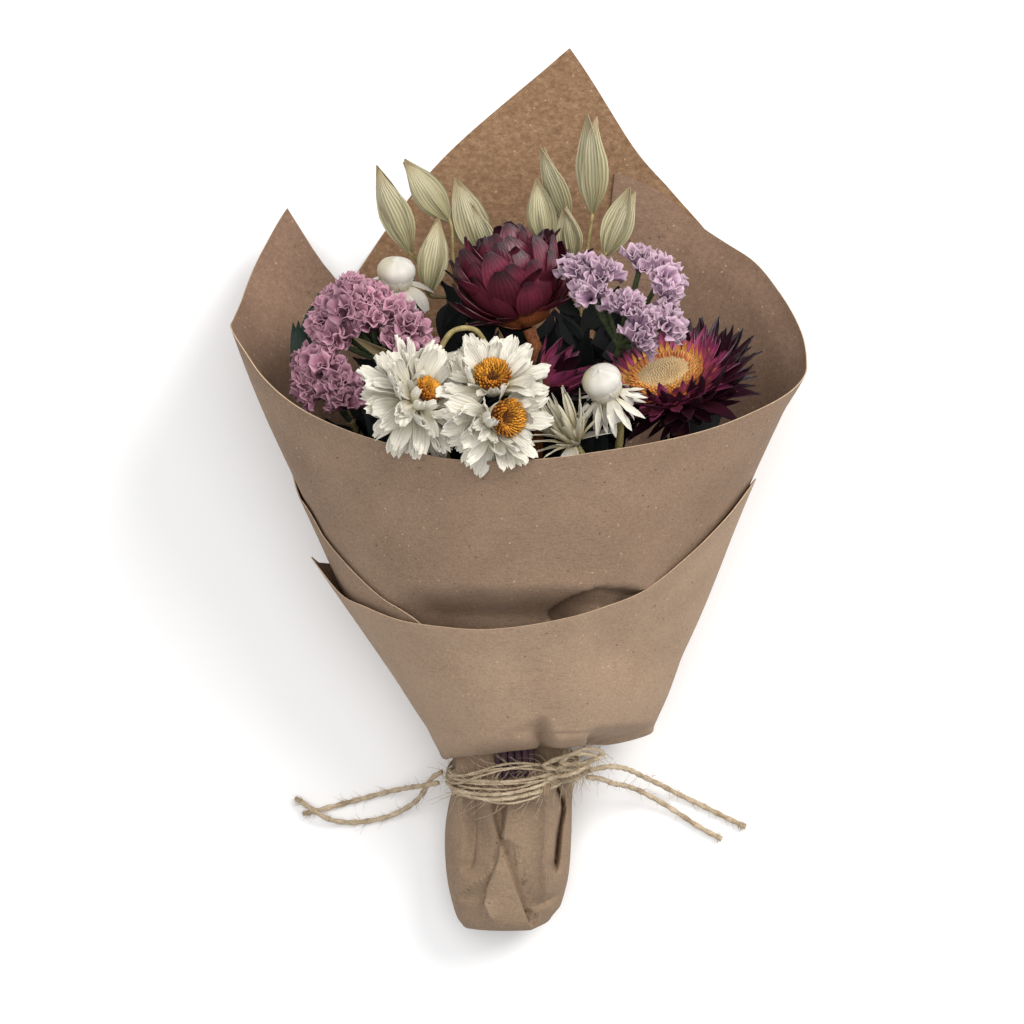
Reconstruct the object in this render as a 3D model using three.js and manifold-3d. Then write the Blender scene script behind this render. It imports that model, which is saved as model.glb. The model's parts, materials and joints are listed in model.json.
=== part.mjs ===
import * as THREE from 'three';
import { mergeVertices } from 'three/addons/utils/BufferGeometryUtils.js';
import Module from 'manifold-3d';

// A small bouquet of dried flowers, rolled in kraft paper and tied with jute twine, in millimetres, +Z up.
// It lies on its back with its foot towards -Y and its open mouth towards +Y.
// Everything is modelled from the point on the floor where the sides of the paper cone would meet:
// x is to the right, y is the distance along the bouquet, z is up. The whole group is then moved to the origin.

const wasm = await Module();
wasm.setup();

const DEG = Math.PI / 180;

// Driving dimensions
const APEX = new THREE.Vector3(1.3, -133.1, 0);
const PAPER = 0.7;
const GAP = 0.35;
const LAYER = PAPER + GAP;
const COLLAR_OUT = 2 * LAYER + 0.25;
const CONE = { left: 0.42, right: 0.43, top: 0.64, middle: 0.3, lift: 1 };
const HELD = { along: 67, half: 19.1, slope: 0.665 };
const BACK = { under: 118, past: 128, high: COLLAR_OUT, low: LAYER };
const TURNS = [
  0, 6.5, 15, 24, 33, 43, 54, 66, 78, 90, 103, 116, 128, 140, 153, 166, 180, 194, 208, 222, 234, 246, 257, 268, 279,
  290, 302, 315, 323, 333, 344, 352,
];
const SHEET_ROWS = [74, 90, 105.6, 118, 128];
const ROW_SQUEEZE = 0.5;
const NECK = { x: -2.8, y: 60.3, z: 18.5, radius: 14.6, half: 2.9, tilt: 1.5, lean: -3 };
const BUNDLE = { radius: 6.8, inner: 3.4, core: 6.2, stem: 1.15, coreLength: 12 };
const TWINE = { radius: 1, sides: 8 };
const PETAL = 0.7;
const CALYX = { radius: 0.56, core: 0.46, hollow: 0.74 };
const CLEAR = 0.35;
const WELD = 1e-3;

const COLOURS = {
  kraftSmooth: 0x8a7461, kraftRough: 0x927457, kraftCollar: 0xa08872, twine: 0xa8906c, stem: 0x6f6a45,
  burgundy: 0x4f2833, plum: 0x653b45, disc: 0xb4854d, white: 0xd6d0c2, brownDisc: 0x976a3e, pink: 0x946e78,
  lilac: 0xa0808d, oat: 0xb0a887, leaf: 0x27382c, dry: 0x71603f,
};

// Sheet edges as pairs of turn and distance. Turn is the angle round the cone in degrees: 0 is the middle of the
// back, 90 the right side, 180 the front and 270 the left side.
const FRONT_EDGE = [
  [15, 214.7], [18.8, 212.6], [22.5, 210.3], [26.4, 206.4], [32.4, 200.2], [37.5, 196.2], [45.5, 190.8],
  [55, 182.7], [68, 172.7], [81.5, 164], [90, 161], [104, 156.6], [119, 151.5], [138, 145.5], [163, 140.6],
  [181, 138.5], [200, 139.2], [210, 141.8], [224.5, 145.8], [241.5, 152.9], [252, 160.4], [257, 165.8],
  [266, 171], [279, 174.5], [289.5, 179.6], [305, 193], [315, 204.3], [319, 192], [323, 184],
  [333, 157], [344, 117], [352, 96],
];
const BACK_EDGE = [
  [-158, 84], [-150, 92], [-141.6, 99.4], [-127.5, 106.2], [-118, 112.1], [-110, 117.5], [-105.5, 120.7],
  [-103, 125.4], [-90, 131], [-75, 142], [-60, 156], [-45, 174], [-33.6, 187], [-24.8, 199.7],
  [-14.1, 216.6], [2, 239.7], [6.5, 247], [17.5, 221], [24.8, 210.1], [30.9, 202.2], [37.5, 194],
  [45, 185.5], [60, 169], [78, 153],
];
const COLLAR_EDGE = [
  [0, 114], [30, 118], [60, 131], [82, 138], [95, 139], [108.4, 134.2], [116, 125.6], [125, 117.1],
  [140.5, 107.4], [156, 102.8], [169, 100.2], [181, 98.5], [195, 97.7], [209, 98.3], [225, 99.9],
  [237.5, 102.7], [256.5, 107], [270, 115.6], [277.5, 113.5], [300, 113], [330, 113.5], [360, 114],
];

// Cross sections of the gathered part, from the foot's closed end to the shoulder. wall is how thick the paper
// stands there, pleats included, measured across the bouquet.
const FOOT_SECTIONS = [
  { y: 19.5, x: -4.2, left: 10.6, right: 10.6, low: 2, high: 19, wall: 0.8 },
  { y: 24, x: -4.2, left: 13.4, right: 13.4, low: 0.3, high: 23, wall: 0.8 },
  { y: 33, x: -4, left: 15.6, right: 15.6, low: 0, high: 25.6, wall: 0.8 },
  { y: 44, x: -3.9, left: 16.2, right: 16.2, low: 0, high: 27.4, wall: 0.9, lean: -0.5 },
  { y: 52, x: -3.4, left: 15.6, right: 15.6, low: 0.8, high: 29.6, wall: 2.2, tilt: 0.7, lean: -1.5 },
  neckSection(-NECK.half),
  neckSection(NECK.half),
  { y: 65, x: -1, left: 19.2, right: 22.6, low: 1.2, high: 39.4, wall: 3.2, tilt: 1.5, lean: -2.5 },
];
const SHOULDER_ROWS = [{ y: 68, wall: 1, tilt: 1, lean: -1.5 }, { y: 72, wall: PAPER }];
const FOOT_END = 0.8;

function neckSection(step) {
  const { x, y, z, radius, tilt, lean } = NECK;
  return { y: y + step, x, left: radius, right: radius, low: z - radius, high: z + radius, wall: 5.6, tilt, lean };
}

// Small helpers

function randomFrom(seed) {
  let state = seed;
  return (low, high) => {
    state = (state * 1664525 + 1013904223) % 4294967296;
    return low + (high - low) * state / 4294967296;
  };
}

function between(table, x) {
  const next = table.findIndex(([key]) => key >= x);
  if (next <= 0) return next === 0 ? table[0][1] : table[table.length - 1][1];
  const [x0, y0] = table[next - 1];
  const [x1, y1] = table[next];
  return y0 + (y1 - y0) * (x - x0) / (x1 - x0);
}

const point = ([x, y, z]) => new THREE.Vector3(x, y, z);

function range(first, last, step) {
  const count = Math.round((last - first) / step);
  return Array.from({ length: count + 1 }, (_, i) => first + i * step);
}

function geometryOf(points, triangles) {
  const geometry = new THREE.BufferGeometry();
  geometry.setAttribute('position', new THREE.Float32BufferAttribute(points.flatMap((p) => [p.x, p.y, p.z]), 3));
  geometry.setIndex(signedVolume(points, triangles) < 0 ? triangles.toReversed() : triangles);
  return geometry;
}

function signedVolume(points, triangles) {
  let sum = 0;
  for (let i = 0; i < triangles.length; i += 3) {
    const [a, b, c] = [points[triangles[i]], points[triangles[i + 1]], points[triangles[i + 2]]];
    sum += a.dot(b.clone().cross(c)) / 6;
  }
  return sum;
}

function solidOf(geometry) {
  const plain = geometry.clone();
  plain.deleteAttribute('normal');
  plain.deleteAttribute('uv');
  const merged = mergeVertices(plain, WELD);
  const mesh = new wasm.Mesh({
    numProp: 3,
    vertProperties: new Float32Array(merged.getAttribute('position').array),
    triVerts: new Uint32Array(merged.getIndex().array),
  });
  return new wasm.Manifold(mesh);
}

function largest(solid) {
  return solid.decompose().reduce((best, body) => (body.volume() > best.volume() ? body : best));
}

// Joins pieces into one body. Hollows that the joining seals and loose scraps are left out.
function join(solids) {
  const whole = solids.reduce((sum, solid) => sum.add(solid));
  return largest(solidOf(geometryFrom(largest(whole))));
}

function geometryFrom(solid) {
  const { numProp, vertProperties, triVerts } = solid.getMesh();
  const geometry = new THREE.BufferGeometry();
  geometry.setAttribute('position', new THREE.Float32BufferAttribute(vertProperties, numProp));
  geometry.setIndex(new THREE.Uint32BufferAttribute(triVerts, 1));
  return geometry;
}

// Paper

function leftHalf(along) {
  return Math.min(CONE.left * along, heldHalf(along));
}

function heldHalf(along) {
  return HELD.half + HELD.slope * (along - HELD.along);
}

function backHeight(along) {
  return between([[BACK.under, BACK.high], [BACK.past, BACK.low]], along);
}

// A point of the rolled paper, out millimetres outside the front sheet's outer face.
function paperPoint(along, turn, out, left = leftHalf) {
  const side = Math.sin(turn * DEG);
  const half = (side > 0 ? CONE.right * along : left(along)) + out;
  const middle = CONE.middle * along + CONE.lift;
  const rise = CONE.top * along + CONE.lift - middle + out;
  const height = Math.max(backHeight(along) - out, middle - rise * Math.cos(turn * DEG));
  return new THREE.Vector3(half * side, along, height);
}

// A closed solid between two equal grids of points. A ring closes on itself, and its first row is then closed by
// a fan to a middle point on each face.
function shell(outer, inner, middles) {
  const columns = outer.length;
  const rows = outer[0].length;
  const ring = middles !== undefined;
  const points = [...outer.flat(), ...inner.flat()];
  const triangles = [];
  const at = (face, i, j) => face * columns * rows + (i % columns) * rows + j;
  const quad = (a, b, c, d) => triangles.push(a, b, c, a, c, d);
  const spans = ring ? columns : columns - 1;
  for (let i = 0; i < spans; i++) {
    for (let j = 0; j < rows - 1; j++) {
      quad(at(0, i, j), at(0, i + 1, j), at(0, i + 1, j + 1), at(0, i, j + 1));
      quad(at(1, i, j), at(1, i, j + 1), at(1, i + 1, j + 1), at(1, i + 1, j));
    }
    quad(at(0, i, rows - 1), at(0, i + 1, rows - 1), at(1, i + 1, rows - 1), at(1, i, rows - 1));
    if (!ring) quad(at(0, i, 0), at(1, i, 0), at(1, i + 1, 0), at(0, i + 1, 0));
  }
  if (ring) {
    points.push(...middles);
    const centre = 2 * columns * rows;
    for (let i = 0; i < columns; i++) {
      triangles.push(at(0, i, 0), centre, at(0, i + 1, 0));
      triangles.push(at(1, i, 0), at(1, i + 1, 0), centre + 1);
    }
  } else {
    for (let j = 0; j < rows - 1; j++) {
      quad(at(0, 0, j), at(0, 0, j + 1), at(1, 0, j + 1), at(1, 0, j));
      quad(at(0, spans, j), at(1, spans, j), at(1, spans, j + 1), at(0, spans, j + 1));
    }
  }
  return geometryOf(points, triangles);
}

// A sheet on the cone from one turn to another, up to its edge. Rows above the edge close up just under it.
function sheet(turns, edge, out) {
  const face = (offset) => turns.map((turn) => {
    const top = between(edge, turn);
    const rows = SHEET_ROWS.map((along, j) => Math.min(along, top - (SHEET_ROWS.length - j) * ROW_SQUEEZE));
    return [...rows, top].map((along) => paperPoint(along, turn, offset));
  });
  return shell(face(out), face(out - PAPER));
}

function paperFront() {
  return sheet(TURNS.filter((turn) => turn >= FRONT_EDGE[0][0]), FRONT_EDGE, 0);
}

function paperBack() {
  const left = TURNS.map((turn) => turn - 360).filter((turn) => turn >= BACK_EDGE[0][0]);
  const right = TURNS.filter((turn) => turn <= BACK_EDGE.at(-1)[0]);
  return sheet([...left, ...right], BACK_EDGE, LAYER);
}

function footPoint({ y, x, left, right, low, high, tilt = 0, lean = 0 }, turn, inset) {
  const side = Math.sin(turn * DEG);
  const up = -Math.cos(turn * DEG);
  const half = (side > 0 ? right : left) - inset;
  const rise = (high - low) / 2 - inset;
  return new THREE.Vector3(x + half * side, y + tilt * side + lean * up, (low + high) / 2 + rise * up);
}

function paperCollar() {
  const out = COLLAR_OUT;
  const face = (inner) => TURNS.map((turn) => {
    const foot = FOOT_SECTIONS.map((section) => footPoint(section, turn, inner ? section.wall : 0));
    const shoulder = SHOULDER_ROWS.map(({ y, wall, tilt = 0, lean = 0 }) => {
      const spot = paperPoint(y, turn, inner ? out - wall : out, heldHalf);
      spot.y += tilt * Math.sin(turn * DEG) - lean * Math.cos(turn * DEG);
      return spot;
    });
    const top = paperPoint(between(COLLAR_EDGE, turn), turn, inner ? out - PAPER : out, heldHalf);
    if (inner) foot[0].y += FOOT_END;
    return [...foot, ...shoulder, top];
  });
  const end = FOOT_SECTIONS[0];
  const middle = new THREE.Vector3(end.x, end.y, (end.low + end.high) / 2);
  const inside = middle.clone().setY(end.y + FOOT_END);
  return shell(face(false), face(true), [middle, inside]);
}

// Tubes

function section(radius, sides) {
  const corners = Array.from({ length: sides }, (_, i) => {
    const angle = 2 * Math.PI * i / sides;
    return new THREE.Vector2(radius * Math.cos(angle), radius * Math.sin(angle));
  });
  return new THREE.Shape(corners);
}

function tube(points, radius, sides, steps) {
  const path = new THREE.CatmullRomCurve3(points, false, 'centripetal');
  return new THREE.ExtrudeGeometry(section(radius, sides), { steps, extrudePath: path, bevelEnabled: false });
}

// A rod with a ring of corners at each of its points, for a path that never runs along X.
function rod(points, radius, sides) {
  const corners = [];
  const triangles = [];
  const last = points.length - 1;
  points.forEach((spot, i) => {
    const way = points[Math.min(i + 1, last)].clone().sub(points[Math.max(i - 1, 0)]).normalize();
    const aside = new THREE.Vector3(1, 0, 0).addScaledVector(way, -way.x).normalize();
    const other = way.clone().cross(aside);
    for (let k = 0; k < sides; k++) {
      const angle = 2 * Math.PI * k / sides;
      const corner = spot.clone().addScaledVector(aside, radius * Math.cos(angle));
      corners.push(corner.addScaledVector(other, radius * Math.sin(angle)));
      if (i === last) continue;
      const [here, next] = [i * sides + k, i * sides + (k + 1) % sides];
      triangles.push(here, next, next + sides, here, next + sides, here + sides);
    }
  });
  for (let k = 1; k < sides - 1; k++) {
    triangles.push(0, k + 1, k);
    triangles.push(last * sides, last * sides + k, last * sides + k + 1);
  }
  return geometryOf(corners, triangles);
}

function loop(points, radius, sides, steps) {
  const path = new THREE.CatmullRomCurve3(points, true, 'centripetal');
  return new THREE.TubeGeometry(path, steps, radius, sides, true);
}

// Petals, bracts, glumes and leaves

// The rows of a blade from root to tip: how far along and up each lies, its angle and its half width. rise is the
// angle at the root, curl what the angle gains by the tip, and shape the half width, as a share of the widest, at
// even steps. share keeps a blade to its own part of the ring that it grows in.
function rowsOf({ length, width, rise = 0, curl = 0, shape, share }) {
  const step = length / shape.length;
  const row = { x: 0, z: 0 };
  return [...shape, 0].map((part, i) => {
    const angle = (rise + curl * i / shape.length) * DEG;
    const room = share ? (share.radius + row.x) * Math.tan(Math.PI / share.count) * 0.94 : Infinity;
    const here = { x: row.x, z: row.z, angle, half: Math.min(part * width / 2, room) };
    row.x += step * Math.cos(angle);
    row.z += step * Math.sin(angle);
    return here;
  });
}

// The three points across one face of a row, or the single one at the tip. cup is how far the sides stand up.
function across({ x, z, angle, half }, face, thick, cup, more = 0) {
  const normal = new THREE.Vector3(-Math.sin(angle), 0, Math.cos(angle));
  const sides = half > 0 ? [-half - more, 0, half + more] : [0];
  return sides.map((y) => {
    const up = (face ? 0.5 : -0.5) * thick + cup * Math.abs(y);
    return new THREE.Vector3(x, y, z).addScaledVector(normal, up);
  });
}

// Triangles between two rows of points that both run the same way. flip turns the diagonals round.
function strip(triangles, from, to, flip = false) {
  for (let k = 0; k < from.length - 1; k++) {
    const [a, b] = [from[k], from[k + 1]];
    const [c, d] = to.length === 1 ? [to[0], to[0]] : [to[k + 1], to[k]];
    if (to.length === 1) triangles.push(a, b, c);
    else if (flip) triangles.push(b, c, d, b, d, a);
    else triangles.push(a, b, c, a, c, d);
  }
}

// The lower face, the upper face and the two sides of a blade, from its root rows on. Each root row is a list of
// three point numbers.
function bladeFaces(points, triangles, lowerRoot, upperRoot, rows, place) {
  const add = (spots) => spots.map((spot) => points.push(place(spot)) - 1);
  const lower = [lowerRoot, ...rows.map((row) => add(row.lower))];
  const upper = [upperRoot, ...rows.map((row) => add(row.upper))];
  for (let k = 0; k < lower.length - 1; k++) {
    strip(triangles, lower[k], lower[k + 1]);
    const back = upper[k + 1];
    if (back.length === 1) triangles.push(back[0], upper[k][1], upper[k][0], back[0], upper[k][2], upper[k][1]);
    else strip(triangles, back, upper[k], true);
    const [l0, l1, u0, u1] = [lower[k], lower[k + 1], upper[k], upper[k + 1]];
    triangles.push(l0[0], l1[0], u1[0], l0[0], u1[0], u0[0]);
    triangles.push(l0.at(-1), u0.at(-1), u1.at(-1), l0.at(-1), u1.at(-1), l1.at(-1));
  }
}

// A thin pointed blade, closed all round. It grows from the origin along +X, and its upper face looks along +Z.
// more makes it larger all round, to test whether it stands clear.
function blade(size) {
  const { cup = 0.25, more = 0 } = size;
  const rows = rowsOf({ ...size, length: size.length + more });
  const faces = rows.map((row) => ({
    lower: across(row, 0, PETAL + 2 * more, cup, more), upper: across(row, 1, PETAL + 2 * more, cup, more),
  }));
  const points = [...faces[0].lower, ...faces[0].upper];
  const triangles = [0, 3, 4, 0, 4, 1, 1, 4, 5, 1, 5, 2];
  bladeFaces(points, triangles, [0, 1, 2], [3, 4, 5], faces.slice(1), (spot) => spot);
  return geometryOf(points, triangles);
}

// A papery calyx of statice: a five-sided funnel that opens along +Z.
function funnel({ radius, depth, more = 0 }) {
  const points = [new THREE.Vector3(0, 0, 0), new THREE.Vector3(0, 0, depth * CALYX.hollow + more)];
  const triangles = [];
  for (let i = 0; i < 5; i++) {
    const angle = 2 * Math.PI * i / 5;
    const reach = radius + more;
    points.push(new THREE.Vector3(reach * Math.cos(angle), reach * Math.sin(angle), depth + more));
    triangles.push(0, 2 + (i + 1) % 5, 2 + i, 1, 2 + i, 2 + (i + 1) % 5);
  }
  return geometryOf(points, triangles);
}

function dome(profile, sides) {
  return new THREE.LatheGeometry(profile.map(([r, z]) => new THREE.Vector2(r, z)), sides).rotateX(Math.PI / 2);
}

// A head's own frame: the origin is where its stem ends, and +Z is the way that it faces.
function frameAt(at, facing, spin = 0) {
  const turn = new THREE.Quaternion().setFromUnitVectors(new THREE.Vector3(0, 0, 1), facing.clone().normalize());
  const twist = new THREE.Quaternion().setFromAxisAngle(new THREE.Vector3(0, 0, 1), spin * DEG);
  return new THREE.Matrix4().compose(at, turn.multiply(twist), new THREE.Vector3(1, 1, 1));
}

// Keeping clear: every solid that is already in place, with the node that owns it

const fixed = [];

function place(owner, solid) {
  fixed.push({ owner, solid, box: solid.boundingBox() });
  return solid;
}

function boxesMeet(a, b) {
  return [0, 1, 2].every((k) => a.min[k] < b.max[k] && b.min[k] < a.max[k]);
}

function isClear(owner, solid) {
  const box = solid.boundingBox();
  return fixed.every((other) => other.owner === owner || !boxesMeet(box, other.box)
    || solid.intersect(other.solid).isEmpty());
}

// The size at which a blade or funnel stands clear. Where it would cross another piece it is bent or shortened,
// and where nothing fits there is none.
const BENDS = {
  any: [[0, 1], [10, 1], [-10, 1], [20, 0.9], [-18, 0.9], [32, 0.8], [0, 0.7], [45, 0.7], [15, 0.5]],
  down: [[0, 1], [-9, 1], [-18, 1], [-9, 0.8], [-27, 0.85], [0, 0.62], [-36, 0.7], [-18, 0.5], [0, 0.4]],
  up: [[0, 1], [9, 1], [-5, 0.9], [18, 0.9], [9, 0.75], [0, 0.62], [27, 0.7], [9, 0.45]],
  none: [[0, 1], [5, 0.9], [-5, 0.8], [0, 0.65], [5, 0.5], [0, 0.4]],
};

function fit(owner, make, size, frame, bends = 'any') {
  for (const [bend, part] of BENDS[bends]) {
    const fitted = { ...size, rise: (size.rise ?? 0) + bend };
    if (size.length) fitted.length = size.length * part;
    if (size.radius) fitted.radius = size.radius * part;
    const test = solidOf(make({ ...fitted, more: CLEAR }).applyMatrix4(frame));
    if (isClear(owner, test)) return fitted;
  }
  return null;
}

function grow(owner, make, size, frame) {
  const fitted = fit(owner, make, size, frame);
  return fitted ? [solidOf(make(fitted).applyMatrix4(frame))] : [];
}

// A flower head as one closed surface. It runs up the core from ring to ring, and between the two rings of a whorl
// it runs out over each petal and back.
function headGeometry(name) {
  const { at, facing, seed, petals, core, whorls, turn = 0 } = HEADS[name];
  const frame = frameAt(point(at), point(facing));
  const random = randomFrom(seed);
  const points = [];
  const triangles = [];
  const count = 2 * petals;
  const wrap = (ring, j) => ring + (j + count) % count;
  const angleAt = (j) => turn + 180 * j / petals;
  const ringAt = (radius, height) => {
    const start = points.length;
    for (let j = 0; j < count; j++) {
      const angle = angleAt(j) * DEG;
      points.push(new THREE.Vector3(radius * Math.cos(angle), radius * Math.sin(angle), height));
    }
    return start;
  };
  const band = (low, high, j) => triangles.push(
    wrap(low, j), wrap(low, j + 1), wrap(high, j + 1), wrap(low, j), wrap(high, j + 1), wrap(high, j));
  const bandAll = (low, high) => Array.from({ length: count }, (_, j) => band(low, high, j));

  const foot = points.push(new THREE.Vector3(0, 0, core.bottom[0][1])) - 1;
  let ring = ringAt(...core.bottom[1]);
  for (let j = 0; j < count; j++) triangles.push(foot, wrap(ring, j + 1), wrap(ring, j));
  whorls.forEach((whorl, w) => {
    const { radius, height, length, width, rise, curl, cup = 0.25, shape = [0.5, 1, 0.75], bends } = whorl;
    const low = ringAt(radius, height - PETAL / 2);
    bandAll(ring, low);
    const high = ringAt(radius, height + PETAL / 2);
    for (let i = 0; i < petals; i++) {
      const middle = 2 * i + w % 2;
      const stand = new THREE.Matrix4().makeRotationZ(angleAt(middle) * DEG)
        .multiply(new THREE.Matrix4().makeTranslation(radius, 0, height));
      const size = {
        length: length * random(0.88, 1.08), width, rise: rise + random(-4, 4), curl, cup, shape,
        share: { radius, count: petals },
      };
      const fitted = fit(name, blade, size, frame.clone().multiply(stand), bends);
      if (!fitted) {
        band(low, high, middle - 1);
        band(low, high, middle);
        continue;
      }
      const rows = rowsOf(fitted).slice(1).map((row) => ({
        lower: across(row, 0, PETAL, cup), upper: across(row, 1, PETAL, cup),
      }));
      const roots = [-1, 0, 1].map((j) => wrap(low, middle + j));
      const tops = [-1, 0, 1].map((j) => wrap(high, middle + j));
      bladeFaces(points, triangles, roots, tops, rows, (spot) => spot.applyMatrix4(stand));
    }
    ring = high;
  });
  for (const [radius, height] of core.top.slice(0, -1)) {
    const next = ringAt(radius, height);
    bandAll(ring, next);
    ring = next;
  }
  const top = points.push(new THREE.Vector3(0, 0, core.top.at(-1)[1])) - 1;
  for (let j = 0; j < count; j++) triangles.push(top, wrap(ring, j), wrap(ring, j + 1));
  return geometryOf(points.map((spot) => spot.applyMatrix4(frame)), triangles);
}

// Flower heads. The core runs from its bottom through the roots of the whorls to its top, as pairs of radius and
// height.

const DAISY = {
  petals: 10,
  core: { bottom: [[0, 0], [1.5, 0.2]], top: [[4.4, 5.6], [0, 5.6]] },
  whorls: [
    { radius: 3.2, height: 2.2, length: 11, width: 4.6, rise: 4, curl: 2, shape: [0.6, 1], bends: 'down' },
    { radius: 3.9, height: 4.4, length: 8.4, width: 4, rise: 30, curl: 2, shape: [0.6, 1], bends: 'up' },
  ],
};
const BUD = {
  petals: 8,
  core: { bottom: [[0, 0], [1.3, 0.2]], top: [[3.5, 5.4], [5, 7.2], [4.6, 10], [2.6, 12], [0, 12.5]] },
  whorls: [
    { radius: 2.6, height: 2, length: 8.6, width: 4, rise: 2, curl: -4, shape: [0.7, 1], bends: 'down' },
    { radius: 3.2, height: 4, length: 5.6, width: 4, rise: 26, curl: 6, shape: [0.7, 1], bends: 'none' },
  ],
};

const HEADS = {
  strawflower_center: {
    at: [2.4, 167.5, 48], facing: [-0.22, 0.95, 0.08], seed: 11, colour: 'burgundy', petals: 10,
    core: { bottom: [[0, 0], [2, 0.2]], top: [[5.4, 13.5], [2.6, 16.6], [0, 17.2]] },
    whorls: [
      { radius: 4.4, height: 2.6, length: 11.5, width: 7, rise: 24, curl: 16, cup: 0.35, bends: 'down',
        shape: [0.6, 1] },
      { radius: 6, height: 5.6, length: 20, width: 9, rise: 42, curl: 16, cup: 0.3, bends: 'none' },
      { radius: 6.6, height: 9, length: 17, width: 8.4, rise: 60, curl: 20, cup: 0.3, bends: 'none' },
    ],
  },
  strawflower_right: {
    at: [39.5, 153.5, 54], facing: [-0.28, 0.34, 0.9], seed: 23, colour: 'plum', petals: 12, turn: 6,
    core: { bottom: [[0, 0], [2, 0.2]], top: [[9, 11.4], [0, 11.4]] },
    whorls: [
      { radius: 6.4, height: 3.4, length: 14.5, width: 7.4, rise: 4, curl: 16, cup: 0.3, bends: 'down' },
      { radius: 7.6, height: 6.4, length: 12.5, width: 6.6, rise: 33, curl: 14, cup: 0.3, bends: 'none',
        shape: [0.7, 1] },
      { radius: 8.8, height: 9.8, length: 5.4, width: 4.4, rise: 58, curl: 0, cup: 0.3, bends: 'none',
        shape: [0.8, 0.9] },
    ],
  },
  strawflower_lower: {
    at: [6.4, 150.5, 50], facing: [0.25, 0.74, 0.62], seed: 31, colour: 'plum', petals: 8,
    core: { bottom: [[0, 0], [1.8, 0.2]], top: [[3.4, 7.6], [0, 9]] },
    whorls: [
      { radius: 3, height: 2.6, length: 12, width: 6, rise: 34, curl: 8, cup: 0.3, bends: 'down' },
      { radius: 3.8, height: 5, length: 10.5, width: 5.4, rise: 60, curl: 8, cup: 0.3, bends: 'none',
        shape: [0.7, 1] },
    ],
  },
  everlasting_front: { ...DAISY, at: [-6.3, 148.8, 89.8], facing: [0.3, 0.1, 0.95], seed: 41, colour: 'white' },
  everlasting_middle: {
    ...DAISY, at: [-8.1, 158.2, 82], facing: [0.05, 0.35, 0.93], seed: 43, colour: 'white', turn: 11,
  },
  everlasting_left: {
    ...DAISY, at: [-26.2, 152.6, 83.6], facing: [0.4, 0.3, 0.86], seed: 47, colour: 'white', turn: 7,
  },
  everlasting_bud_left: { ...BUD, at: [-31.9, 180.5, 42], facing: [0.02, 0.52, 0.85], seed: 53, colour: 'white' },
  everlasting_bud_right: {
    ...BUD, at: [20.4, 154.4, 74.5], facing: [-0.14, 0.36, 0.92], seed: 59, colour: 'white', turn: 8,
  },
  everlasting_side: {
    at: [11.4, 140.6, 76.5], facing: [-0.06, 0.62, 0.78], seed: 61, colour: 'white', petals: 8,
    core: { bottom: [[0, 0], [1.2, 0.2]], top: [[2.6, 5.6], [0, 6.4]] },
    whorls: [
      { radius: 2.4, height: 2.4, length: 9, width: 3.4, rise: 44, curl: -6, shape: [0.7, 1], bends: 'down' },
    ],
  },
};

// The open discs of the four flowers that show one, each a low bun on its core.
const DISCS = {
  strawflower_right_disc: { head: 'strawflower_right', radius: 8.4, height: 2.6, colour: 'disc' },
  everlasting_front_disc: { head: 'everlasting_front', radius: 4, height: 2.4, colour: 'brownDisc' },
  everlasting_middle_disc: { head: 'everlasting_middle', radius: 4.4, height: 2.4, colour: 'brownDisc' },
  everlasting_left_disc: { head: 'everlasting_left', radius: 4, height: 2.4, colour: 'brownDisc' },
};

function headFrame({ at, facing }) {
  return frameAt(point(at), point(facing));
}

function headCore(head) {
  const roots = head.whorls.map(({ radius, height }) => [radius, height]);
  const profile = [...head.core.bottom, ...roots, ...head.core.top];
  return solidOf(dome(profile, 2 * head.petals).applyMatrix4(headFrame(head)));
}

function discOn({ head, radius, height }) {
  const seat = HEADS[head].core.top.at(-1)[1] + CLEAR;
  const bun = [[0, seat], [radius, seat], [radius * 0.86, seat + height * 0.8], [radius * 0.4, seat + height * 0.9],
    [0, seat + height * 0.66]];
  return dome(bun, 12).applyMatrix4(headFrame(HEADS[head]));
}

// Statice: lumps of calyces on forked branches. at is where the stem ends. A lump is a twelve-sided core, and from
// each side of it that is clear grows one funnel.
const SPRAYS = {
  statice_pink_upper: {
    at: [-33.5, 160, 50], facing: [-0.4, 0.85, 0.3], seed: 71, colour: 'pink',
    lumps: [[-43.7, 178, 56, 6], [-35.6, 173, 60, 6.2], [-28.4, 166.6, 62, 5.4], [-42, 170, 60, 5]],
  },
  statice_pink_lower: {
    at: [-43, 149, 50], facing: [-0.4, 0.6, 0.65], seed: 73, colour: 'pink',
    lumps: [[-52.4, 160.8, 57, 5.2], [-45.8, 155.4, 61, 5.6], [-42, 163, 63, 4.6], [-50.4, 167, 56, 4.6]],
  },
  statice_lilac: {
    at: [23, 164, 54], facing: [0.1, 0.6, 0.75], seed: 79, colour: 'lilac',
    lumps: [[16, 182.5, 68, 6.4], [30.4, 184.3, 66, 6.2], [28.5, 170.6, 71, 6.8], [22.4, 177.2, 68, 4]],
  },
};

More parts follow.
